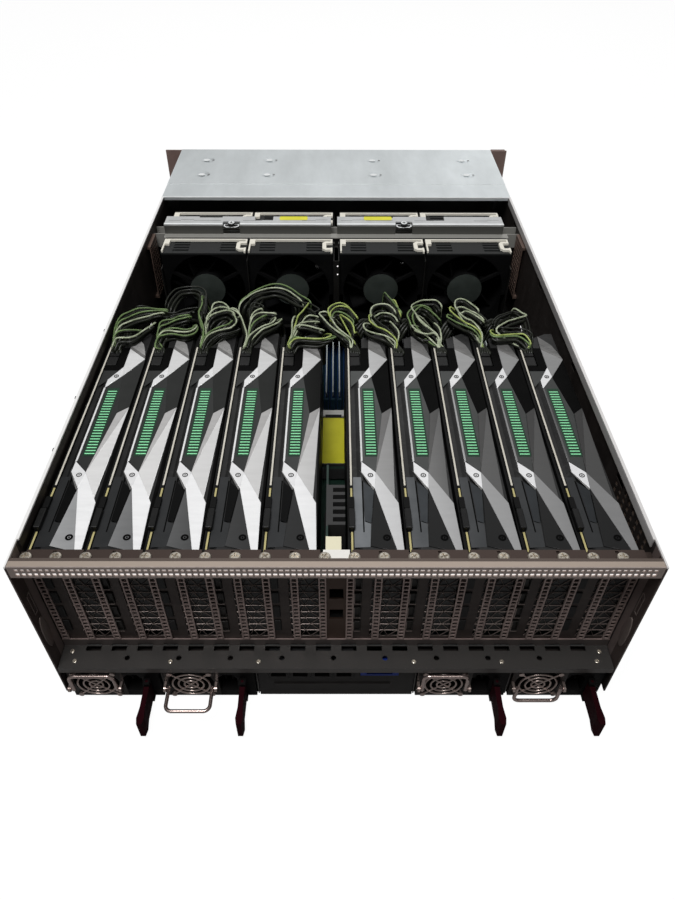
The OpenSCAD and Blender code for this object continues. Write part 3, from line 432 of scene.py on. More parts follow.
    add("wire_black", (0.006, 0.007, 0.005), (0.014, 0.016, 0.01), 0.0, (0.36, 0.46), 150.0, bump=0.0,
        spec=0.3)
    # The green, yellow and pale wires take the sleeves' tints but are drawn thin and bright as the leads'
    # painted highlights; the pale one is near white
    sleeve = dict(metallic=0.1, rough=(0.4, 0.5), scale=120.0, bump=0.0, spec=0.3)
    green = look.wire_colour
    add("wire_green", tuple(c * 0.3 for c in green), tuple(c * 0.75 for c in green), **sleeve)
    add("wire_yellow", (0.2, 0.26, 0.06), (0.42, 0.5, 0.16), **sleeve)
    add("wire_pale_highlight", (0.2, 0.24, 0.14), (0.5, 0.54, 0.4), **sleeve)
    add("label_blank", (0.80, 0.82, 0.83), (0.84, 0.86, 0.87), 0.0, (0.4, 0.55), 60.0, bump=0.02)
    add("label_yellow", tuple(look.label_colour), tuple(c * 0.9 for c in look.label_colour), 0.0,
        (0.4, 0.5), 60.0,
        bump=0.04)
    add("label_grey", (0.028, 0.034, 0.03), (0.04, 0.048, 0.043), 0.0, (0.4, 0.55), 60.0, bump=0.02)
    add("port_shell", (0.012, 0.011, 0.01), (0.02, 0.0185, 0.017), 0.6, (0.35, 0.5), 60.0)
    add("latch_black", grey(0.006), grey(0.01), 0.0, (0.4, 0.5), 60.0,
        zones=[zone((0.10, 0.10, 0.094), 0.4, 0.6, z=(-FAR, 173))])
    add("vent_shade", (0.13, 0.09, 0.07), (0.19, 0.14, 0.11), 0.2, (0.5, 0.6), 60.0, bump=0.0)
    add("cap_black", grey(0.003), (0.006, 0.0055, 0.0055), 0.0, (0.5, 0.6), 60.0)
    add("zinc_bright", (0.84, 0.86, 0.86), (0.9, 0.92, 0.92), 0.3, (0.3, 0.4), 60.0, bump=0.0)
    # Glows though it is no lamp: painted light showing through holes and in small spots
    add("hole_light", (0.95, 0.93, 0.92), (1.0, 0.98, 0.97), 0.0, (0.5, 0.6), 60.0, bump=0.0,
        glow=((1.0, 0.97, 0.96), 0.8))


NODE_FINISH = {
    "chassis_tray": "body_steel", "slot_wall": "rear_steel", "top_rail": "rail_steel",
    "gpu_tray": "card_tray",
    "gpu_baseboard": "base_board", "gpu_boards": "card_board", "gpu_shrouds": "card_shroud",
    "gpu_brackets": "bracket_plate", "network_card": "network_board", "power_board": "duct_plastic",
    "main_board": "main_board", "cpu_coolers": "fin_metal", "memory_modules": "memory_module",
    "io_panel": "panel_black", "fan_cage": "cage_steel", "drive_cage": "card_tray",
    "drive_carriers": "carrier_plastic", "drive_cover": "zinc_sheet", "front_grille": "panel_black",
    "ear_left": "ear_steel", "ear_right": "ear_steel", "power_button": "button_plastic",
    "psu_case": "supply_case", "psu_handle": "handle_wire", "psu_tab": "tab_plastic",
    "psu_rotor": "fan_blade",
    "fan_module": "fan_frame", "fan_rotor": "fan_blade", "retainer_bar": "bar_zinc",
    "bar_latch": "latch_black",
}


# ---- Modelling helpers ----


def clear_selection():
    bpy.ops.object.select_all(action="DESELECT")


def pick(*objs):
    clear_selection()
    for o in objs:
        o.select_set(True)
    bpy.context.view_layer.objects.active = objs[0]


def settle(name, look, body):
    """Puts the active object's place in its mesh, names it, paints it and sets what it rides on."""
    made = bpy.context.object
    bpy.ops.object.transform_apply(location=True, rotation=True, scale=True)
    made.name = name
    made.data.name = name
    made.data.materials.clear()
    made.data.materials.append(FINISHES[look])
    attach(made, body)
    return made


def soften(piece, width, segments=2):
    """Bevels the sharp edges of a piece."""
    pick(piece)
    edge = piece.modifiers.new("edge", "BEVEL")
    edge.width = width / 1000
    edge.segments = segments
    edge.limit_method = "ANGLE"
    edge.angle_limit = math.radians(35)
    bpy.ops.object.modifier_apply(modifier="edge")
    return piece


def smooth(piece, angle=35):
    pick(piece)
    bpy.ops.object.shade_smooth_by_angle(angle=math.radians(angle))
    return piece


def block_piece(name, low, high, look, body="chassis", edge=0.3):
    """A moulded or cut block between two corners, its edges broken."""
    clear_selection()
    low, high = at(*low), at(*high)
    bpy.ops.mesh.primitive_cube_add(size=1, location=(low + high) / 2, scale=high - low)
    made = settle(name, look, body)
    return soften(made, edge) if edge else made


def drum_piece(name, place, radius, depth, axis, look, body="chassis", edge=0.2, sides=24):
    """A turned piece: its axis is X, Y or Z and its place is its middle."""
    clear_selection()
    turn = {"X": (0, math.pi / 2, 0), "Y": (math.pi / 2, 0, 0), "Z": (0, 0, 0)}[axis]
    bpy.ops.mesh.primitive_cylinder_add(
        vertices=sides, radius=radius / 1000, depth=depth / 1000, location=at(*place), rotation=turn
    )
    made = settle(name, look, body)
    if edge:
        soften(made, edge)
    return smooth(made)


def plate_piece(name, outlines, z, thick, look, body="chassis", edge=0.15):
    """A flat piece cut from outlines in plan; a second outline inside the first is a hole."""
    clear_selection()
    curve = bpy.data.curves.new(name, "CURVE")
    curve.dimensions = "2D"
    curve.fill_mode = "BOTH"
    curve.extrude = thick / 2000 - edge / 1000
    curve.bevel_depth = edge / 1000
    curve.bevel_resolution = 0
    curve.offset = -edge / 1000
    for outline in outlines:
        spline = curve.splines.new("POLY")
        spline.points.add(len(outline) - 1)
        spline.use_cyclic_u = True
        for point, (x, y) in zip(spline.points, outline):
            place = at(x, y, 0)
            point.co = (place.x, place.y, 0, 1)
    made = bpy.data.objects.new(name, curve)
    bpy.context.collection.objects.link(made)
    made.location.z = (z + thick / 2) / 1000
    pick(made)
    bpy.ops.object.convert(target="MESH")
    return settle(name, look, body)


def join_as(name, pieces):
    """Joins pieces into the first one, under a new name."""
    pick(*pieces)
    bpy.ops.object.join()
    made = bpy.context.object
    made.name = name
    made.data.name = name
    return made


def copy_piece(piece, name, shift, turn=None):
    """A copy with a mesh of its own, turned about a place and then moved by millimetres."""
    made = piece.copy()
    made.data = piece.data.copy()
    bpy.context.collection.objects.link(made)
    made.name = name
    made.data.name = name
    if turn:
        middle, rotation = turn
        centre = at(*middle)
        made.data.transform(
            Matrix.Translation(centre) @ Euler(rotation).to_matrix().to_4x4() @ Matrix.Translation(-centre)
        )
    made.data.transform(Matrix.Translation(Vector(shift) / 1000))
    return made


def on_other_cards(piece, stem):
    """Copies a piece of the first card to the nine others."""
    for index, board in enumerate(BOARDS[1:], 2):
        copy_piece(piece, f"{stem}_{index}", (board - BOARDS[0], 0, 0))


def cut(piece, tool):
    """Cuts a tool shape out of a piece and removes the tool."""
    pick(piece)
    hole = piece.modifiers.new("cut", "BOOLEAN")
    hole.operation = "DIFFERENCE"
    hole.object = tool
    bpy.ops.object.modifier_apply(modifier="cut")
    bpy.data.objects.remove(tool)
    return piece


def pan_screw(name, place, radius, height, look, body="chassis"):
    """A pan-head screw with a crossed recess, facing up."""
    x, y, z = place
    screw = drum_piece(name, (x, y, z + height / 2), radius, height, "Z", look, body, edge=0)
    soften(screw, height * 0.55, 3)
    long, short = radius * 0.62, radius * 0.17
    for dx, dy in ((short, long), (long, short)):
        slot = block_piece(
            "recess", (x - dx, y - dy, z + height * 0.45), (x + dx, y + dy, z + height + 1), look, body,
            edge=0)
        cut(screw, slot)
    return smooth(screw)


def wire_piece(name, route, radius, look, body="chassis", sides=2):
    """A round wire along a route of points, smooth through them."""
    clear_selection()
    ends = [Vector(route[0]) * 2 - Vector(route[1])] + [Vector(p) for p in route]
    ends.append(ends[-1] * 2 - ends[-2])
    path = []
    for a, b, c, d in zip(ends, ends[1:], ends[2:], ends[3:]):
        for t in (0, 0.25, 0.5, 0.75):
            path.append(0.5 * (
                2 * b + (c - a) * t + (2 * a - 5 * b + 4 * c - d) * t**2 + (3 * b - a - 3 * c + d) * t**3))
    path.append(ends[-2])
    curve = bpy.data.curves.new(name, "CURVE")
    curve.dimensions = "3D"
    curve.bevel_depth = radius / 1000
    curve.bevel_resolution = sides
    curve.use_fill_caps = True
    spline = curve.splines.new("POLY")
    spline.points.add(len(path) - 1)
    for point, place in zip(spline.points, path):
        point.co = (*at(*place), 1)
    made = bpy.data.objects.new(name, curve)
    bpy.context.collection.objects.link(made)
    pick(made)
    bpy.ops.object.convert(target="MESH")
    return smooth(settle(name, look, body), 60)


# ---- Settings ----


class ServerSizes(bpy.types.PropertyGroup):
    screw_radius: bpy.props.FloatProperty(
        name="Slot screw radius", description="Radius of the screws that hold the card brackets",
        default=4.2, min=3.0, max=4.6)
    wire_radius: bpy.props.FloatProperty(
        name="Wire radius", description="Radius of one wire of a card's power lead", default=0.85, min=0.7,
        max=1.2)
    # Dark wires are the shaded copies under each bright, highlighted wire
    dark_wires: bpy.props.IntProperty(
        name="Dark wires", description="Dark wires that lie under each bright one", default=2, min=0, max=2)
    label_length: bpy.props.FloatProperty(
        name="Cover label length", description="Length of the blank label on the drive cover",
        default=90.0, min=60.0, max=100.0)


class ServerFinish(bpy.types.PropertyGroup):
    rear_colour: bpy.props.FloatVectorProperty(
        name="Rear steel", description="Colour of the slot wall", subtype="COLOR", size=3,
        default=(0.34, 0.26, 0.24), min=0.0, max=1.0)
    wire_colour: bpy.props.FloatVectorProperty(
        name="Wire green", description="Colour of the green wires", subtype="COLOR", size=3,
        default=(0.24, 0.36, 0.14), min=0.0, max=1.0)
    bar_colour: bpy.props.FloatVectorProperty(
        name="Light bar", description="Colour of the light bar on each card", subtype="COLOR", size=3,
        default=(0.22, 0.62, 0.33), min=0.0, max=1.0)
    label_colour: bpy.props.FloatVectorProperty(
        name="Yellow labels", description="Colour of the blank labels on the retainer bars", subtype="COLOR",
        size=3, default=(0.78, 0.74, 0.04), min=0.0, max=1.0)


# ---- Pieces ----


class SERVER_OT_finish_nodes(bpy.types.Operator):
    """Gives every node of the frame its finish"""

    bl_idname = "server.finish_nodes"
    bl_label = "Finish the server's nodes"

    def execute(self, context):
        make_finishes()
        for name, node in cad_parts.items():
            stem = name if name in NODE_FINISH else name.rsplit("_", 1)[0]
            if stem not in NODE_FINISH:
                continue
            node.data.materials.clear()
            node.data.materials.append(FINISHES[NODE_FINISH[stem]])
        return {"FINISHED"}


# Outlines on a card's top face: distance from its board, distance from the rear face.
# Each facet's finish paints the light and shade that fall on it.
TRIM_PLATES = [
    ("arm", "trim_bright", [(9.4, 206), (20.9, 222.5), (19.6, 236.8), (9.4, 217.5)]),
    ("head", "trim_head", [(20.9, 222.5), (36.6, 248.5), (19.6, 265), (19.6, 236.8)]),
    ("head_band", "trim_shade", [(19.6, 265), (36.6, 248.5), (35.6, 254), (19.8, 269)]),
    ("head_far", "trim_dusk", [(19.8, 269), (35.6, 254), (34.6, 259), (19.9, 274)]),
    ("head_tip", "trim_dusk", [(19.9, 274), (34.6, 259), (31, 272), (20.6, 287)]),
    ("upper_side", "trim_side", [(20, 100.6), (36.6, 178.8), (28, 171)]),
    ("upper", "trim_upper", [(20, 100.6), (33.2, 73.6), (36.6, 178.8)]),
    ("waist", "trim_bright", [(9.2, 112.6), (8.8, 101), (18.5, 83.4), (20, 100.6)]),
    ("tail", "trim_tail", [(18.5, 83.4), (32.2, 22.8), (36.8, 22.8), (35.6, 68.5), (33.2, 73.6),
        (20, 100.6)]),
    ("foot", "trim_foot", [(18.5, 83.4), (13.5, 28), (32.2, 22.8)]),
    ("line", "trim_line", [(8.8, 112.4), (10.3, 113.4), (10.3, 206), (8.8, 206)]),
    ("rim", "trim_shade", [(7.4, 103), (17.4, 82), (18.5, 83.4), (8.8, 101)]),
]
# Thin plates on the shroud under the trim, most painting the light and shade of facets, recesses and slits:
# depth below its top, thickness and outline
SHROUD_PLATES = [
    ("window", "shroud_window", 0, 0.15, [(10.3, 113.4), (20, 100.6), (28, 171), (20.9, 222.5), (10.3, 206)]),
    ("facet", "shroud_facet", 0, 0.2, [(20.9, 222.5), (28, 171), (36.6, 178.8), (36.6, 248.5)]),
    ("glow", "light_window", 0, 0.25, [(12.2, 119), (22.6, 119), (22.6, 206), (12.2, 206)]),
    ("shoulder", "shroud_shoulder", 0, 0.15,
        [(2.4, 27), (13.4, 27.6), (14.6, 48.8), (10.2, 51), (8.6, 96), (2.4, 96)]),
    ("slit", "slit_black", 0, 0.25, [(8.8, 41), (9.8, 41), (9.8, 92), (8.8, 92)]),
    ("far", "shroud_window", 0, 0.15, [(2.4, 208), (9.4, 217.5), (19.6, 236.8), (19.6, 231.6), (2.4, 231.6)]),
    ("end", "slit_black", 0, 0.12, [(1.9, 231.8), (19.4, 231.8), (19.4, 268), (12, 268), (12, 239),
        (1.9, 239)]),
    ("sunk_panel", "shroud_shoulder", 2.5, 0.2, [(11, 51.6), (14.8, 50.8), (16.6, 66), (11, 72)]),
    ("recess", "shroud_recess", 0, 0.22, [(10.2, 91), (18, 82.5), (14.6, 49.8), (10.2, 51.8)]),
]
# The board's edge: finish and the two ends
EDGE_STRIPS = [("edge_beige", 87, 268), ("edge_brass", 69.6, 84), ("edge_brass", 22.5, 40.8)]
# Bolts in the trim: place, finish and the radii of the head, its socket and the socket's floor
CARD_BOLTS = [
    (16, 222.4, "screw_black", (2.2, 1.4, 0.6)), (15.8, 97.4, "screw_black", (2.2, 1.4, 0.6)),
    (25.2, 35.4, "slit_black", (2.8, 1.3, 0.7)),
]
# Dashes of the light bar
DASHES = 24
DASH_START = 121.4
DASH_PITCH = 3.45
DASH_LENGTH = 1.1


class SERVER_OT_card_trims(bpy.types.Operator):
    """Facetted trims, light bar, board edge and screws on every card"""

    bl_idname = "server.card_trims"
    bl_label = "Card trims"

    def execute(self, context):
        first = BOARDS[0]

        def on_card(outline):
            return [[(first + u, v) for u, v in outline]]

        plates = [
            plate_piece("trim_" + part, on_card(outline), CARD_TOP, 0.8 + 0.1 * (index % 3), look)
            for index, (part, look, outline) in enumerate(TRIM_PLATES)
        ]
        painted = [
            plate_piece("shroud_" + part, on_card(outline), CARD_TOP - sink, thick, look, edge=0.02)
            for part, look, sink, thick, outline in SHROUD_PLATES
        ]
        dashes = [
            block_piece(
                "dash", (first + 13.4, y, CARD_TOP), (first + 21.4, y + DASH_LENGTH, CARD_TOP + 0.45),
                "light_bar", edge=0.2)
            for y in (DASH_START + row * DASH_PITCH for row in range(DASHES))
        ]
        strips = [
            block_piece(
                "edge", (first + 0.1, low, CARD_TOP + 0.2), (first + 1.5, high, CARD_TOP + 0.6), look,
                edge=0.1)
            for look, low, high in EDGE_STRIPS
        ]
        strips.append(block_piece(
            "cap", (first - 1.6, 42, CARD_TOP), (first + 3, 60.4, CARD_TOP + 4.4), "plug_black", edge=0.6))
        rings = []
        for u, v, look, radii in CARD_BOLTS:
            outer, inner, dot = (ring_points(first + u, v, radius, 18) for radius in radii)
            rings.append(plate_piece("ring", [outer, inner], CARD_TOP + 0.9, 0.25, look, edge=0.05))
            rings.append(plate_piece("ring", [dot], CARD_TOP + 0.9, 0.2, look, edge=0.02))
        made = {
            "card_trim": join_as("card_trim_1", plates),
            "card_shades": join_as("card_shades_1", painted),
            "card_light": join_as("card_light_1", dashes),
            "card_edge": join_as("card_edge_1", strips),
            "card_bolts": join_as("card_bolts_1", rings),
        }
        for stem, piece in made.items():
            on_other_cards(piece, stem)
        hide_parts("gpu_trims")
        return {"FINISHED"}


# The g, y and w runs are thin bright wires painting the leads' highlights; k runs are dark wires
# Wires of the power leads in plan, by card: colour and points (from the card's board, from the rear face);
# card nought stands for the loose runs before the fans, from the middle of the chassis
WIRE_LOOKS = {"g": "wire_green", "y": "wire_yellow", "w": "wire_pale_highlight", "k": "wire_black"}
WIRE_RUNS = {
    1: [
        ("g", [(0, 290), (3, 305), (10, 314), (17, 320), (27, 321), (37, 319), (47, 317)]),
        ("g", [(2, 287), (4, 297), (11, 305), (18, 312), (27, 316), (36, 317), (47, 315)]),
        ("w", [(2, 280), (6, 290), (12, 297), (20, 303), (30, 308), (36, 312), (44, 313)]),
        ("k", [(11, 322), (15, 326), (21, 327), (30, 323), (37, 319), (47, 315), (55, 315), (61, 320),
         (68, 323), (76, 323)]),
        ("g", [(3, 272), (6, 278), (13, 282), (22, 282), (27, 281)]),
        ("w", [(4, 262), (7, 268), (12, 270), (19, 270), (25, 274), (30, 282), (35, 289), (39, 295)]),
    ],
    2: [
        ("g", [(2, 285), (3, 294), (7, 299), (14, 301), (19, 306), (29, 308)]),
        ("g", [(2, 280), (4, 288), (10, 293), (17, 300), (23, 303), (31, 306)]),
        ("k", [(5, 304), (11, 308), (18, 311), (26, 313), (30, 315)]),
        ("g", [(3, 263), (5, 272), (10, 276), (17, 278), (24, 276), (31, 275), (38, 279), (40, 286),
         (38, 293)]),
        ("g", [(3, 275), (8, 280), (14, 285), (21, 285), (29, 283), (35, 285), (37, 289)]),
        ("w", [(3, 270), (7, 278), (13, 282), (23, 280), (32, 280), (37, 284), (39, 290)]),
    ],
    3: [
        ("g", [(5, 285), (2, 296), (-2, 308), (-3, 316), (-2, 329), (-4, 344)]),
        ("k", [(4, 304), (1, 315), (1, 329), (-1, 345)]),
        ("g", [(5, 263), (8, 272), (13, 282), (20, 289), (28, 294), (31, 300)]),
        ("w", [(6, 266), (10, 274), (17, 282), (25, 286), (31, 289), (35, 297), (34, 305), (30, 313)]),
        ("w", [(5, 301), (10, 308), (17, 314), (25, 317), (32, 311)]),
        ("w", [(4, 305), (8, 314), (13, 322), (19, 324), (26, 321), (32, 317), (38, 308)]),
        ("w", [(7, 320), (9, 330), (15, 334), (21, 330), (26, 320)]),
        ("g", [(4, 285), (1, 296), (-3, 311), (-3, 320)]),
        ("k", [(13, 270), (22, 275), (30, 277), (37, 281), (40, 284)]),
    ],
    4: [
        ("w", [(6, 262), (9, 271), (15, 282), (22, 290), (27, 293), (31, 298), (32, 304)]),
        ("g", [(8, 274), (9, 282), (11, 294), (16, 303), (23, 309)]),
        ("w", [(7, 297), (10, 307), (16, 314), (24, 314), (32, 312)]),
        ("w", [(7, 304), (9, 313), (14, 321), (18, 321)]),
        ("k", [(6, 311), (6, 324), (9, 331), (15, 328), (19, 323)]),
        ("w", [(6, 280), (2, 294), (-2, 307), (-8, 320), (-13, 320)]),
        ("w", [(11, 274), (20, 284), (27, 290), (35, 297), (38, 303)]),
    ],
    5: [
        ("y", [(11, 300), (13, 306), (17, 315), (21, 325), (23, 330)]),
        ("w", [(8, 284), (8, 297), (10, 307)]),
        ("w", [(10, 292), (14, 292), (21, 292), (30, 288), (39, 283)]),
        ("g", [(6, 270), (11, 273), (19, 271), (28, 269), (40, 269), (50, 273)]),
        ("y", [(6, 262), (11, 267), (19, 269), (31, 268), (40, 269), (46, 274)]),
        ("w", [(13, 297), (19, 296), (26, 298), (34, 297)]),
        ("w", [(17, 304), (23, 309), (28, 309), (33, 306)]),
    ],
    6: [
        ("w", [(2, 272), (-3, 273), (-10, 281), (-17, 291), (-23, 303), (-27, 311), (-25, 314), (-20, 314)]),
        ("y", [(-11, 294), (-15, 302), (-18, 312), (-18, 322), (-12, 330), (-6, 332), (0, 327), (6, 315),
         (10, 305)]),
        ("y", [(-14, 300), (-16, 309), (-16, 316), (-12, 324), (-7, 327), (-2, 326), (3, 322), (8, 310)]),
        ("g", [(-14, 305), (-14, 310), (-11, 317), (-5, 316), (1, 310), (6, 301), (6, 294)]),
        ("y", [(-6, 312), (-3, 306), (3, 298), (6, 288), (7, 278)]),
        ("w", [(5, 273), (-3, 278), (-10, 289), (-14, 300), (-16, 306)]),
    ],
    7: [
        ("w", [(4, 270), (-5, 273), (-14, 277), (-22, 282), (-25, 289), (-23, 294)]),
        ("y", [(6, 273), (-3, 282), (-12, 289), (-17, 296), (-19, 302), (-18, 310)]),
        ("w", [(-15, 305), (-17, 310), (-17, 319), (-14, 327), (-7, 331), (0, 330), (5, 323), (7, 316)]),
        ("k", [(5, 280), (-2, 288), (-7, 294), (-13, 304), (-15, 310)]),
        ("w", [(-12, 306), (-11, 309), (-5, 313), (2, 311), (6, 305), (8, 298)]),
        ("w", [(8, 277), (8, 281), (5, 290), (1, 298)]),
        ("g", [(-2, 358), (2, 345), (6, 335), (9, 326), (13, 315)]),
        ("y", [(5, 342), (8, 338), (10, 326), (12, 311)]),
    ],
    8: [
        ("w", [(5, 279), (-2, 285), (-10, 300), (-14, 312), (-17, 323), (-15, 329), (-6, 336), (2, 337),
         (9, 336), (13, 326)]),
        ("g", [(-16, 291), (-21, 301), (-22, 311), (-18, 320), (-14, 325), (-7, 328), (1, 322)]),
        ("w", [(-3, 277), (-9, 278), (-15, 284), (-19, 292)]),
        ("g", [(-12, 292), (-17, 310), (-8, 327), (-2, 324), (4, 315), (9, 303)]),
        ("w", [(1, 283), (-3, 286), (-7, 291), (-11, 299), (-13, 308)]),
        ("w", [(6, 274), (1, 278), (-5, 277), (-12, 279), (-17, 283)]),
        ("w", [(8, 277), (7, 287), (3, 296)]),
    ],
    9: [
        ("w", [(7, 283), (0, 297), (-6, 303), (-11, 312), (-14, 324), (-13, 334), (-9, 339), (-3, 338),
         (3, 329), (8, 318)]),
        ("y", [(6, 283), (0, 289), (-7, 296), (-12, 303), (-17, 312), (-20, 320), (-18, 324)]),
        ("g", [(4, 280), (-2, 286), (-9, 292), (-17, 299), (-22, 305), (-24, 308), (-22, 311)]),
        ("w", [(-4, 292), (-11, 310), (-12, 320), (-12, 325), (-6, 326), (0, 320), (6, 314), (11, 303)]),
        ("w", [(-10, 311), (-8, 314), (-4, 316), (1, 312), (6, 305), (10, 297)]),
        ("k", [(0, 323), (7, 314), (13, 302), (13, 297)]),
    ],
    10: [
        ("w", [(-19, 287), (-10, 296), (0, 302), (8, 306), (13, 309), (9, 314), (3, 321)]),
        ("y", [(10, 268), (5, 276), (-3, 277), (-12, 276), (-22, 275), (-26, 279), (-26, 283)]),
        ("g", [(9, 266), (0, 273), (-11, 274), (-19, 273), (-25, 274), (-27, 278)]),
        ("k", [(13, 283), (13, 305), (9, 314), (2, 318), (-7, 314), (-16, 308), (-22, 297)]),
        ("k", [(13, 275), (11, 280), (2, 286), (-7, 286), (-17, 287)]),
    ],
    0: [
        ("k", [(-172, 333), (-167, 353), (-157, 361), (-143, 362), (-134, 353), (-131, 334), (-130, 312)]),
        ("k", [(-169, 329), (-163, 349), (-155, 356), (-144, 356), (-137, 347), (-134, 329)]),
        ("g", [(-98, 335), (-90, 347), (-80, 360), (-68, 369), (-57, 369), (-47, 361), (-37, 348),
         (-32, 343), (-26, 334)]),
        ("w", [(-98, 334), (-88, 348), (-76, 359), (-64, 363), (-52, 359), (-43, 349), (-34, 334)]),
        ("k", [(-88, 338), (-82, 346), (-73, 350), (-64, 353), (-52, 347), (-37, 334), (-27, 330),
         (-17, 319), (-22, 313)]),
    ],
}


WIRE_TOP = 175.6
WIRE_START = 171.0
# Each lower layer of wires lies this much deeper and is drawn in by this share
LAYER_DROP = 3.6
LAYER_PULL = 0.12
# Ends of a lead's two plugs, and the place of its foot on the base board, along from the plugs
PLUGS = ((240.0, 253.5), (255.0, 265.5))
FEET = (10, 8, 12, 6, 10, 8, 8, 12, 8, -6)
# Middles of the fans' own bundles of dark wires
FAN_BUNDLES = (-150, -109, -68, -27, 31, 72, 118, 158)


def lead_route(card, index, points, layer, slip):
    """The route of one wire: up from a plug or the board, along its points and down to its foot."""
    board = BOARDS[card - 1] if card else 0
    lift = -LAYER_DROP * layer - 0.5 * (index % 4)
    pull = 1 - LAYER_PULL * layer
    middle = sum(x for x, _ in points) / len(points)
    level = [
        (board + middle + (x - middle) * pull, y + slip, (WIRE_TOP if step else WIRE_START) + lift)
        for step, (x, y) in enumerate(points)
    ]
    if card and points[0][1] < 325:
        start = board + 3.2 + (index % 5) * 1.8
        head = [(start, 259, CARD_TOP - 2), (start, 264, CARD_TOP + 0.5)]
    else:
        head = [(level[0][0], level[0][1] + 1, z) for z in (70, 140)]
    x, y, _ = level[-1]
    foot_x = board + 6.6 + FEET[card - 1] + (index % 5 - 2) * 2.0 if card else x
    foot_y = 330 + (index // 5) * 2.4
    turn_x, turn_y = x + (foot_x - x) * 0.3, y + (foot_y - y) * 0.3
    tail = [(turn_x, turn_y, 164 + lift), (foot_x, foot_y, 118), (foot_x, foot_y, 66)]
    return head + level + tail


def fan_bundle(middle):
    """Four dark wires that arch over from a fan's plug and go down."""
    pieces = []
    for k in range(4):
        x = middle + (k - 1.5) * 3.2
        route = [(x - 14, 300 + k, 150), (x - 8, 308, 162 - k), (x, 314 + k, 166 - k), (x + 7, 322, 158),
                 (x + 9, 330, 140), (x + 9, 332, 100)]
        pieces.append(wire_piece("wire", route, 2.1, "wire_black"))
    return pieces


class SERVER_OT_power_leads(bpy.types.Operator):
    """Plugs and looping wires of every card's power lead, and the loose wires before the fans"""

    bl_idname = "server.power_leads"
    bl_label = "Power leads"

    def execute(self, context):
        sizes = context.scene.server_sizes
        rng = random.Random(31)
        for card in range(11):
            parts = []
            if card:
                board = BOARDS[card - 1]
                for low, high in PLUGS:
                    parts.append(block_piece(
                        "plug", (board + 1.9, low, CARD_TOP - 3.6), (board + 11.3, high, CARD_TOP + 0.4),
                        "plug_black",
                        edge=0.8))
            for index, (look, points) in enumerate(WIRE_RUNS[card]):
                # Layer nought is the run itself; lower layers are thicker dark copies that stand for the
                # shaded sides of the lead
                for layer in range(1 + sizes.dark_wires):
                    slip = rng.uniform(-3.5, 3.5) if layer else 0
                    parts.append(wire_piece(
                        "wire", lead_route(card, index, points, layer, slip),
                        sizes.wire_radius * (1.7 if layer else 1),
                        "wire_black" if layer else WIRE_LOOKS[look]))
            if not card:
                for middle in FAN_BUNDLES:
                    parts += fan_bundle(middle)
            lead = join_as(f"power_lead_{card}" if card else "power_lead_loops", parts)
            if card == 1:
                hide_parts("power_leads")
        return {"FINISHED"}


class SERVER_OT_slot_screws(bpy.types.Operator):
    """Pan-head screws along the bracket ledge and the shelf"""

    bl_idname = "server.slot_screws"
    bl_label = "Slot screws"

    def execute(self, context):
        radius = context.scene.server_sizes.screw_radius
        place = (-10 * PITCH - 8, 15.4, LEDGE)
        first = pan_screw("slot_screw", place, radius, 2.6, "screw_zinc")
        rng = random.Random(5)
        others = [
            copy_piece(first, "slot_screw", (k * PITCH, 0, 0), (place, (0, 0, rng.uniform(0, 1.5))))
            for k in range(1, 21)
        ]
        join_as("slot_screws", [first] + others)
        x_first, y_first = -205, 6.5
        rivet = pan_screw("rivet", (x_first, y_first, 50.3), 1.9, 1.0, "screw_zinc")
        others = [
            copy_piece(rivet, "rivet", (x - x_first, y - y_first, 0))
            for x, y in ((-130, 6), (-61, 6), (61, 6), (130, 6), (205, 6.5), (-209, 15), (209, 15))
        ]
        join_as("shelf_rivets", [rivet] + others)
        return {"FINISHED"}


# Heights of a bracket's sockets, and the cards whose sockets have no cap
SOCKET_HEIGHTS = (78, 96, 114, 132)
OPEN_SOCKETS = (1, 3, 5, 6, 8)


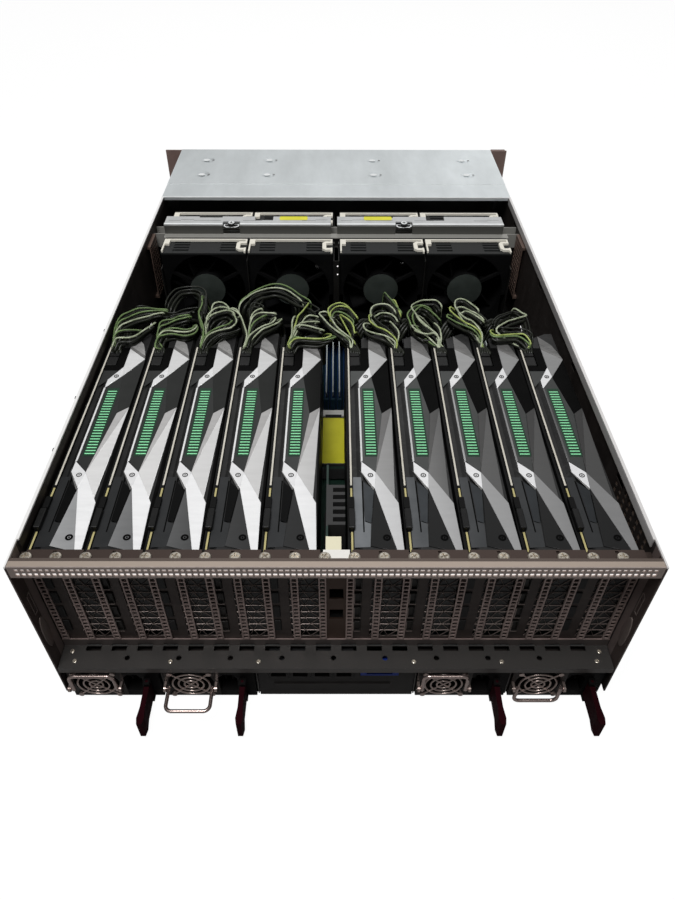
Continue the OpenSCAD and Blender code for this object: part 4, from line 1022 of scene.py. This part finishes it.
class SERVER_OT_bracket_fields(bpy.types.Operator):
    """Vent lattices and socket shells on the card brackets"""

    bl_idname = "server.bracket_fields"
    bl_label = "Bracket vents and sockets"

    def execute(self, context):
        width, height = 22.6, 98.4
        columns, rows = 3, 12
        centre = at(BOARDS[0] + 26.75, 22.5, 111)
        clear_selection()
        bpy.ops.mesh.primitive_grid_add(
            x_subdivisions=columns, y_subdivisions=rows, size=1, location=centre,
            rotation=(math.pi / 2, 0, 0))
        lattice = settle("bracket_lattice_1", "bracket_wire", "chassis")
        for point in lattice.data.vertices:
            place = point.co - centre
            column, row = round((place.x + 0.5) * columns), round((place.z + 0.5) * rows)
            slide = 0.5 if row % 2 and 0 < column < columns else 0.0
            point.co = centre + Vector((((column - slide) / columns - 0.5) * width, 0,
                place.z * height)) / 1000
        pick(lattice)
        bpy.ops.object.mode_set(mode="EDIT")
        bpy.ops.mesh.select_all(action="SELECT")
        bpy.ops.mesh.quads_convert_to_tris(quad_method="SHORTEST_DIAGONAL")
        bpy.ops.object.mode_set(mode="OBJECT")
        wires = lattice.modifiers.new("wires", "WIREFRAME")
        wires.thickness = 0.0009
        wires.use_even_offset = False
        bpy.ops.object.modifier_apply(modifier="wires")
        on_other_cards(lattice, "bracket_lattice")
        shells, caps = [], []
        for index, board in enumerate(BOARDS):
            for z in SOCKET_HEIGHTS:
                low, high = (board + 2.8, 20.2, z - 6.6), (board + 8.2, 22.2, z + 6.6)
                if index in OPEN_SOCKETS:
                    shell = block_piece("shell", low, high, "port_shell", edge=0.4)
                    inner = block_piece(
                        "inner", (low[0] + 0.7, 19, low[2] + 0.7), (high[0] - 0.7, 21.6, high[2] - 0.7),
                        "port_shell", edge=0)
                    shells.append(cut(shell, inner))
                    for start, end in (((low[0], 19.9, low[2]), (high[0], 20.2, low[2] + 0.7)),
                                       ((low[0], 19.9, low[2]), (low[0] + 0.6, 20.2, high[2]))):
                        shells.append(block_piece("lip", start, end, "bracket_wire", edge=0))
                else:
                    caps.append(block_piece("cap", (low[0], 20.8, low[2]), high, "cap_black", edge=0.5))
        join_as("socket_shells", shells)
        join_as("socket_caps", caps)
        return {"FINISHED"}


class SERVER_OT_fan_fittings(bpy.types.Operator):
    """Blank hub labels of the fans, dress of the bars and catches, and painted light on the cage: two glowing
    dots and highlights along a fold
    """

    bl_idname = "server.fan_fittings"
    bl_label = "Fan fittings"

    def execute(self, context):
        for index in range(1, 9):
            low, high = corners(f"fan_module_{index}")
            x = (low[0] + high[0]) / 2
            label = drum_piece(
                f"hub_label_{index}", (x, low[1] - 0.12, CARD_TOP - 46.7), 20.3, 0.5, "Y", "label_grey",
                f"fan_{index}", edge=0.1, sides=48)
        for index, x in ((1, -51), (2, 49.5)):
            low, high = corners(f"retainer_bar_{index}")
            near, top = low[1], high[2]
            outline = [(-16, 12.5), (16, 12.5), (17, 17), (16, 21.6), (-16, 21.6), (-17, 17)]
            parts = [plate_piece(
                "label", [[(x + u, near + v) for u, v in outline]], top, 0.35, "label_yellow",
                f"bar_{index}", 0.05)]
            knob_low, knob_high = corners(f"bar_latch_{index}")
            catch = (knob_low[0] + knob_high[0]) / 2
            for start, end in ((low[0], catch - 10.4), (catch + 10.4, high[0])):
                parts.append(block_piece(
                    "lip", (start, near, top - 0.2), (end, near + 3.4, top + 0.5), "zinc_bright",
                    f"bar_{index}", 0.15))
            for start, end, y in (
                (low[0] + 4, low[0] + 18, 11), (low[0] + 18, low[0] + 34, 13), (low[0] + 34, catch - 13, 11),
                (catch + 13, catch + 36, 11), (high[0] - 34, high[0] - 18, 11),
                (high[0] - 18, high[0] - 4, 13),
            ):
                parts.append(block_piece(
                    "seam", (start, near + y, top - 0.2), (end, near + y + 0.5, top + 0.06), "screw_black",
                    f"bar_{index}", 0))
            join_as(f"bar_dress_{index}", parts)
        for index in (1, 2):
            low, high = corners(f"bar_latch_{index}")
            x = (low[0] + high[0]) / 2
            knob = pan_screw(f"latch_knob_{index}", (x, low[1] + 6, 176.2), 3.9, 1.5, "zinc_bright",
                             f"latch_{index}")
            outer = [(-9, 8), (-9, 3), (-6, 0), (6, 0), (9, 3), (9, 8)]
            inner = [(-7.6, 7.4), (-7.6, 3.6), (-5.4, 1.4), (5.4, 1.4), (7.6, 3.6), (7.6, 7.4)]
            rim = plate_piece(
                "rim", [[(x + u, low[1] + v) for u, v in outline] for outline in (outer, inner)], 174.0, 0.4,
                "zinc_bright", f"latch_{index}", 0.05)
            join_as(f"latch_knob_{index}", [knob, rim])
        # Painted light on the cage: two glowing dots, and bright strips painting the highlight along the
        # face's fold
        painted_lights = [
            drum_piece("dot", (1.5, 449.9, z), 0.8, 0.6, "Y", "hole_light", edge=0.1,
                sides=12) for z in (141.3, 151.7)
        ]
        painted_lights += [
            block_piece("fold", (start, 520.2, 159.6), (end, 520.75, 161.0), "trim_head", edge=0)
            for start, end in ((-194, -8), (8, 194))
        ]
        join_as("cage_painted_lights", painted_lights)
        return {"FINISHED"}


# Notches along the top edges of the two walls: the two ends of each
NOTCHES_RIGHT = ((365, 369), (282, 286), (206, 209), (182, 186), (118, 122), (77, 80), (44, 47))
NOTCHES_LEFT = ((277, 280), (176, 179), (112, 115))
LOUVRE_STRETCH = 3.6


class SERVER_OT_cover_fittings(bpy.types.Operator):
    """Label of the cover and painted light on its hem, crease and bumps; label of the duct, painted shade
    inside the grille, glow behind the rail's holes and wall marks
    """

    bl_idname = "server.cover_fittings"
    bl_label = "Cover fittings"

    def execute(self, context):
        length = context.scene.server_sizes.label_length
        top = RAIL_TOP
        label = plate_piece(
            "cover_label", [[(67, 619), (67 + length, 619), (67 + length, 667), (67, 667)]], top - 0.02,
            0.018,
            "label_blank", edge=0.003)
        # Painted highlights along the cover's rear hem and its crease, and in each bump a painted highlight
        # with a small dark spot of painted shade
        edges = [
            block_piece("edge", (-218, 577.8, top - 1.9), (218, 579.6, top - 0.4), "zinc_bright", edge=0.2),
            block_piece("crease_highlight", (-218, 617.9, top - 0.6), (218, 618.8, top - 0.02), "zinc_bright",
                edge=0.1),
        ]
        for x in (-176.6, -90.3, 51, 174):
            for y in (648, 698):
                for shift, size, look in ((-1.6, 4.4, "zinc_bright"), (7.6, 1.5, "trim_shade")):
                    ring = ring_points(x + shift, y, size, 16, 0.8)
                    edges.append(plate_piece("dimple_highlight_and_shade", [ring], top - 0.06, 0.05, look, edge=0.005))
        join_as("cover_highlights_and_shades", edges)
        panel = plate_piece(
            "duct_label", [[(-20, 222), (9, 222), (9, 304), (-16, 304)]], 47.6, 0.3, "label_yellow",
            edge=0.05)
        dark = plate_piece("duct_strip", [[(-20, 202), (9, 202), (9, 216), (-20, 216)]], 56.0, 0.4,
            "plug_black")
        join_as("duct_label", [panel, dark])
        # Glowing strips behind the rail's holes paint the light seen through them
        hole_glow = [
            block_piece("rail_hole_glow", (-215.8, 1.3, low), (215.8, 1.5, high), "hole_light", edge=0)
            for low, high in ((167, 171.6), (173.3, 174.6))
        ]
        join_as("rail_hole_glow", hole_glow)
        low, high = corners("front_grille")
        # A near-black sheet inside the front grille is painted shade, darkening what shows through the grille
        dark_sheet = block_piece(
            "front_shade_sheet", (low[0] + 2, high[1] - 3.4, 5), (high[0] - 2, high[1] - 2.4, high[2] - 2),
            "slit_black",
            edge=0.2)
        marks = [
            block_piece("dark_sheet", (217.9, 28, 140), (218.3, 106, 171), "vent_shade", edge=0),
            block_piece("dark_sheet", (217.9, 80, 160), (218.3, 545, 170), "slit_black", edge=0),
        ]
        for x, places in ((216.9, NOTCHES_RIGHT), (-219.2, NOTCHES_LEFT)):
            for low, high in places:
                marks.append(block_piece(
                    "notch", (x, low, top - 1.4), (x + 1.4, high, top - 0.02), "screw_black", edge=0))
        for side in (-1, 1):
            inner = side * 217.2
            for low, high in (((5.6, 114), (6.4, 137)), ((9.6, 114), (10.4, 137)),
                ((5.6, 114), (10.4, 114.8)),
                              ((5.6, 136.2), (10.4, 137))):
                x0, x1 = sorted((inner, inner - side * 0.4))
                marks.append(block_piece("mark", (x0, *low), (x1, *high), "bracket_wire", edge=0))
            louvre_middle = 89
            louvre = drum_piece("louvre", (inner, 8.6, louvre_middle), 5, 1.2, "X", "bracket_wire", edge=0.4)
            for point in louvre.data.vertices:
                point.co.z = louvre_middle / 1000 + (point.co.z - louvre_middle / 1000) * LOUVRE_STRETCH
            marks.append(louvre)
        join_as("wall_marks", marks)
        return {"FINISHED"}


# The camera: place in metres, degrees of yaw, pitch and roll, and focal length in millimetres
CAMERA_PLACE = (-0.00085, -0.654916, 0.55063)
CAMERA_TURN = (0.2374, 43.0153, 0.2318)
CAMERA_LENS = 28.28464


class SERVER_OT_studio(bpy.types.Operator):
    """Floor, lights and camera"""

    bl_idname = "server.studio"
    bl_label = "Studio"

    def execute(self, context):
        scene = context.scene
        clear_selection()
        bpy.ops.mesh.primitive_grid_add(x_subdivisions=2, y_subdivisions=2, size=16, location=(0, 0, -0.0005))
        floor = context.object
        bpy.ops.object.transform_apply(location=True, rotation=True, scale=True)
        floor.name = "studio_floor"
        paper = bpy.data.materials.new("studio_paper")
        paper.use_nodes = True
        nodes, links = paper.node_tree.nodes, paper.node_tree.links
        matt = nodes["Principled BSDF"]
        matt.inputs["Roughness"].default_value = 0.9
        matt.inputs["Specular IOR Level"].default_value = 0.1
        bright = nodes.new("ShaderNodeEmission")
        bright.inputs["Color"].default_value = (1, 1, 1, 1)
        bright.inputs["Strength"].default_value = 1.04
        path = nodes.new("ShaderNodeLightPath")
        paint = blend_colours(nodes, links, path.outputs["Is Camera Ray"], (0.3, 0.3, 0.3),
            (0.86, 0.86, 0.86))
        links.new(paint, matt.inputs["Base Color"])
        seen = nodes.new("ShaderNodeMath")
        seen.operation = "MULTIPLY"
        seen.inputs[1].default_value = 0.93
        mixed = nodes.new("ShaderNodeMixShader")
        links.new(path.outputs["Is Camera Ray"], seen.inputs[0])
        links.new(seen.outputs[0], mixed.inputs[0])
        links.new(matt.outputs[0], mixed.inputs[1])
        links.new(bright.outputs[0], mixed.inputs[2])
        links.new(mixed.outputs[0], nodes["Material Output"].inputs["Surface"])
        floor.data.materials.append(paper)

        world = bpy.data.worlds.new("studio_air")
        scene.world = world
        world.use_nodes = True
        nodes, links = world.node_tree.nodes, world.node_tree.links
        soft = nodes["Background"]
        soft.inputs["Color"].default_value = (1, 1, 1, 1)
        soft.inputs["Strength"].default_value = 0.16
        white = nodes.new("ShaderNodeBackground")
        white.inputs["Color"].default_value = (1, 1, 1, 1)
        white.inputs["Strength"].default_value = 1.0
        path = nodes.new("ShaderNodeLightPath")
        mixed = nodes.new("ShaderNodeMixShader")
        links.new(path.outputs["Is Camera Ray"], mixed.inputs[0])
        links.new(soft.outputs[0], mixed.inputs[1])
        links.new(white.outputs[0], mixed.inputs[2])
        links.new(mixed.outputs[0], nodes["World Output"].inputs["Surface"])

        for name, place, aim, size, power in (
            ("key_light", (-0.25, -0.8, 2.0), (0, 0, 0.1), 0.7, 34.5),
            ("far_light", (0.15, 1.5, 1.3), (0, 0, 0.1), 2.0, 8.0),
        ):
            lamp = bpy.data.lights.new(name, "AREA")
            lamp.size = size
            lamp.energy = power
            holder = bpy.data.objects.new(name, lamp)
            scene.collection.objects.link(holder)
            holder.location = place
            holder.rotation_euler = (Vector(aim) - Vector(place)).to_track_quat("-Z", "Y").to_euler()

        yaw, pitch, roll = (math.radians(v) for v in CAMERA_TURN)
        ahead = Vector((math.sin(yaw) * math.cos(pitch), math.cos(yaw) * math.cos(pitch), -math.sin(pitch)))
        right = Vector((math.cos(yaw), -math.sin(yaw), 0))
        up = right.cross(ahead)
        across = math.cos(roll) * right + math.sin(roll) * up
        above = math.cos(roll) * up - math.sin(roll) * right
        lens = bpy.data.cameras.new("view_camera")
        lens.sensor_width = 36
        lens.lens = CAMERA_LENS
        lens.clip_start = 0.01
        camera = bpy.data.objects.new("view_camera", lens)
        scene.collection.objects.link(camera)
        turn = Matrix((across, above, -ahead)).transposed().to_4x4()
        camera.matrix_world = Matrix.Translation(CAMERA_PLACE) @ turn
        scene.camera = camera
        scene.view_settings.view_transform = "Standard"
        return {"FINISHED"}


class SERVER_PT_panel(bpy.types.Panel):
    bl_label = "Server"
    bl_idname = "SERVER_PT_panel"
    bl_space_type = "VIEW_3D"
    bl_region_type = "UI"
    bl_category = "Server"

    def draw(self, context):
        for group in (context.scene.server_sizes, context.scene.server_finish):
            for key in group.__annotations__:
                self.layout.prop(group, key)
        for step in STEPS:
            self.layout.operator(step.bl_idname)


STEPS = (
    SERVER_OT_finish_nodes, SERVER_OT_card_trims, SERVER_OT_power_leads, SERVER_OT_slot_screws,
    SERVER_OT_bracket_fields, SERVER_OT_fan_fittings, SERVER_OT_cover_fittings, SERVER_OT_studio,
)
CLASSES = (ServerSizes, ServerFinish, *STEPS, SERVER_PT_panel)


def register():
    for item in CLASSES:
        bpy.utils.register_class(item)
    bpy.types.Scene.server_sizes = bpy.props.PointerProperty(type=ServerSizes)
    bpy.types.Scene.server_finish = bpy.props.PointerProperty(type=ServerFinish)


def unregister():
    del bpy.types.Scene.server_finish
    del bpy.types.Scene.server_sizes
    for item in reversed(CLASSES):
        bpy.utils.unregister_class(item)


def main():
    register()
    for step in STEPS:
        area, name = step.bl_idname.split(".")
        getattr(getattr(bpy.ops, area), name)()
    bpy.context.view_layer.update()


if __name__ == "__main__":
    main()
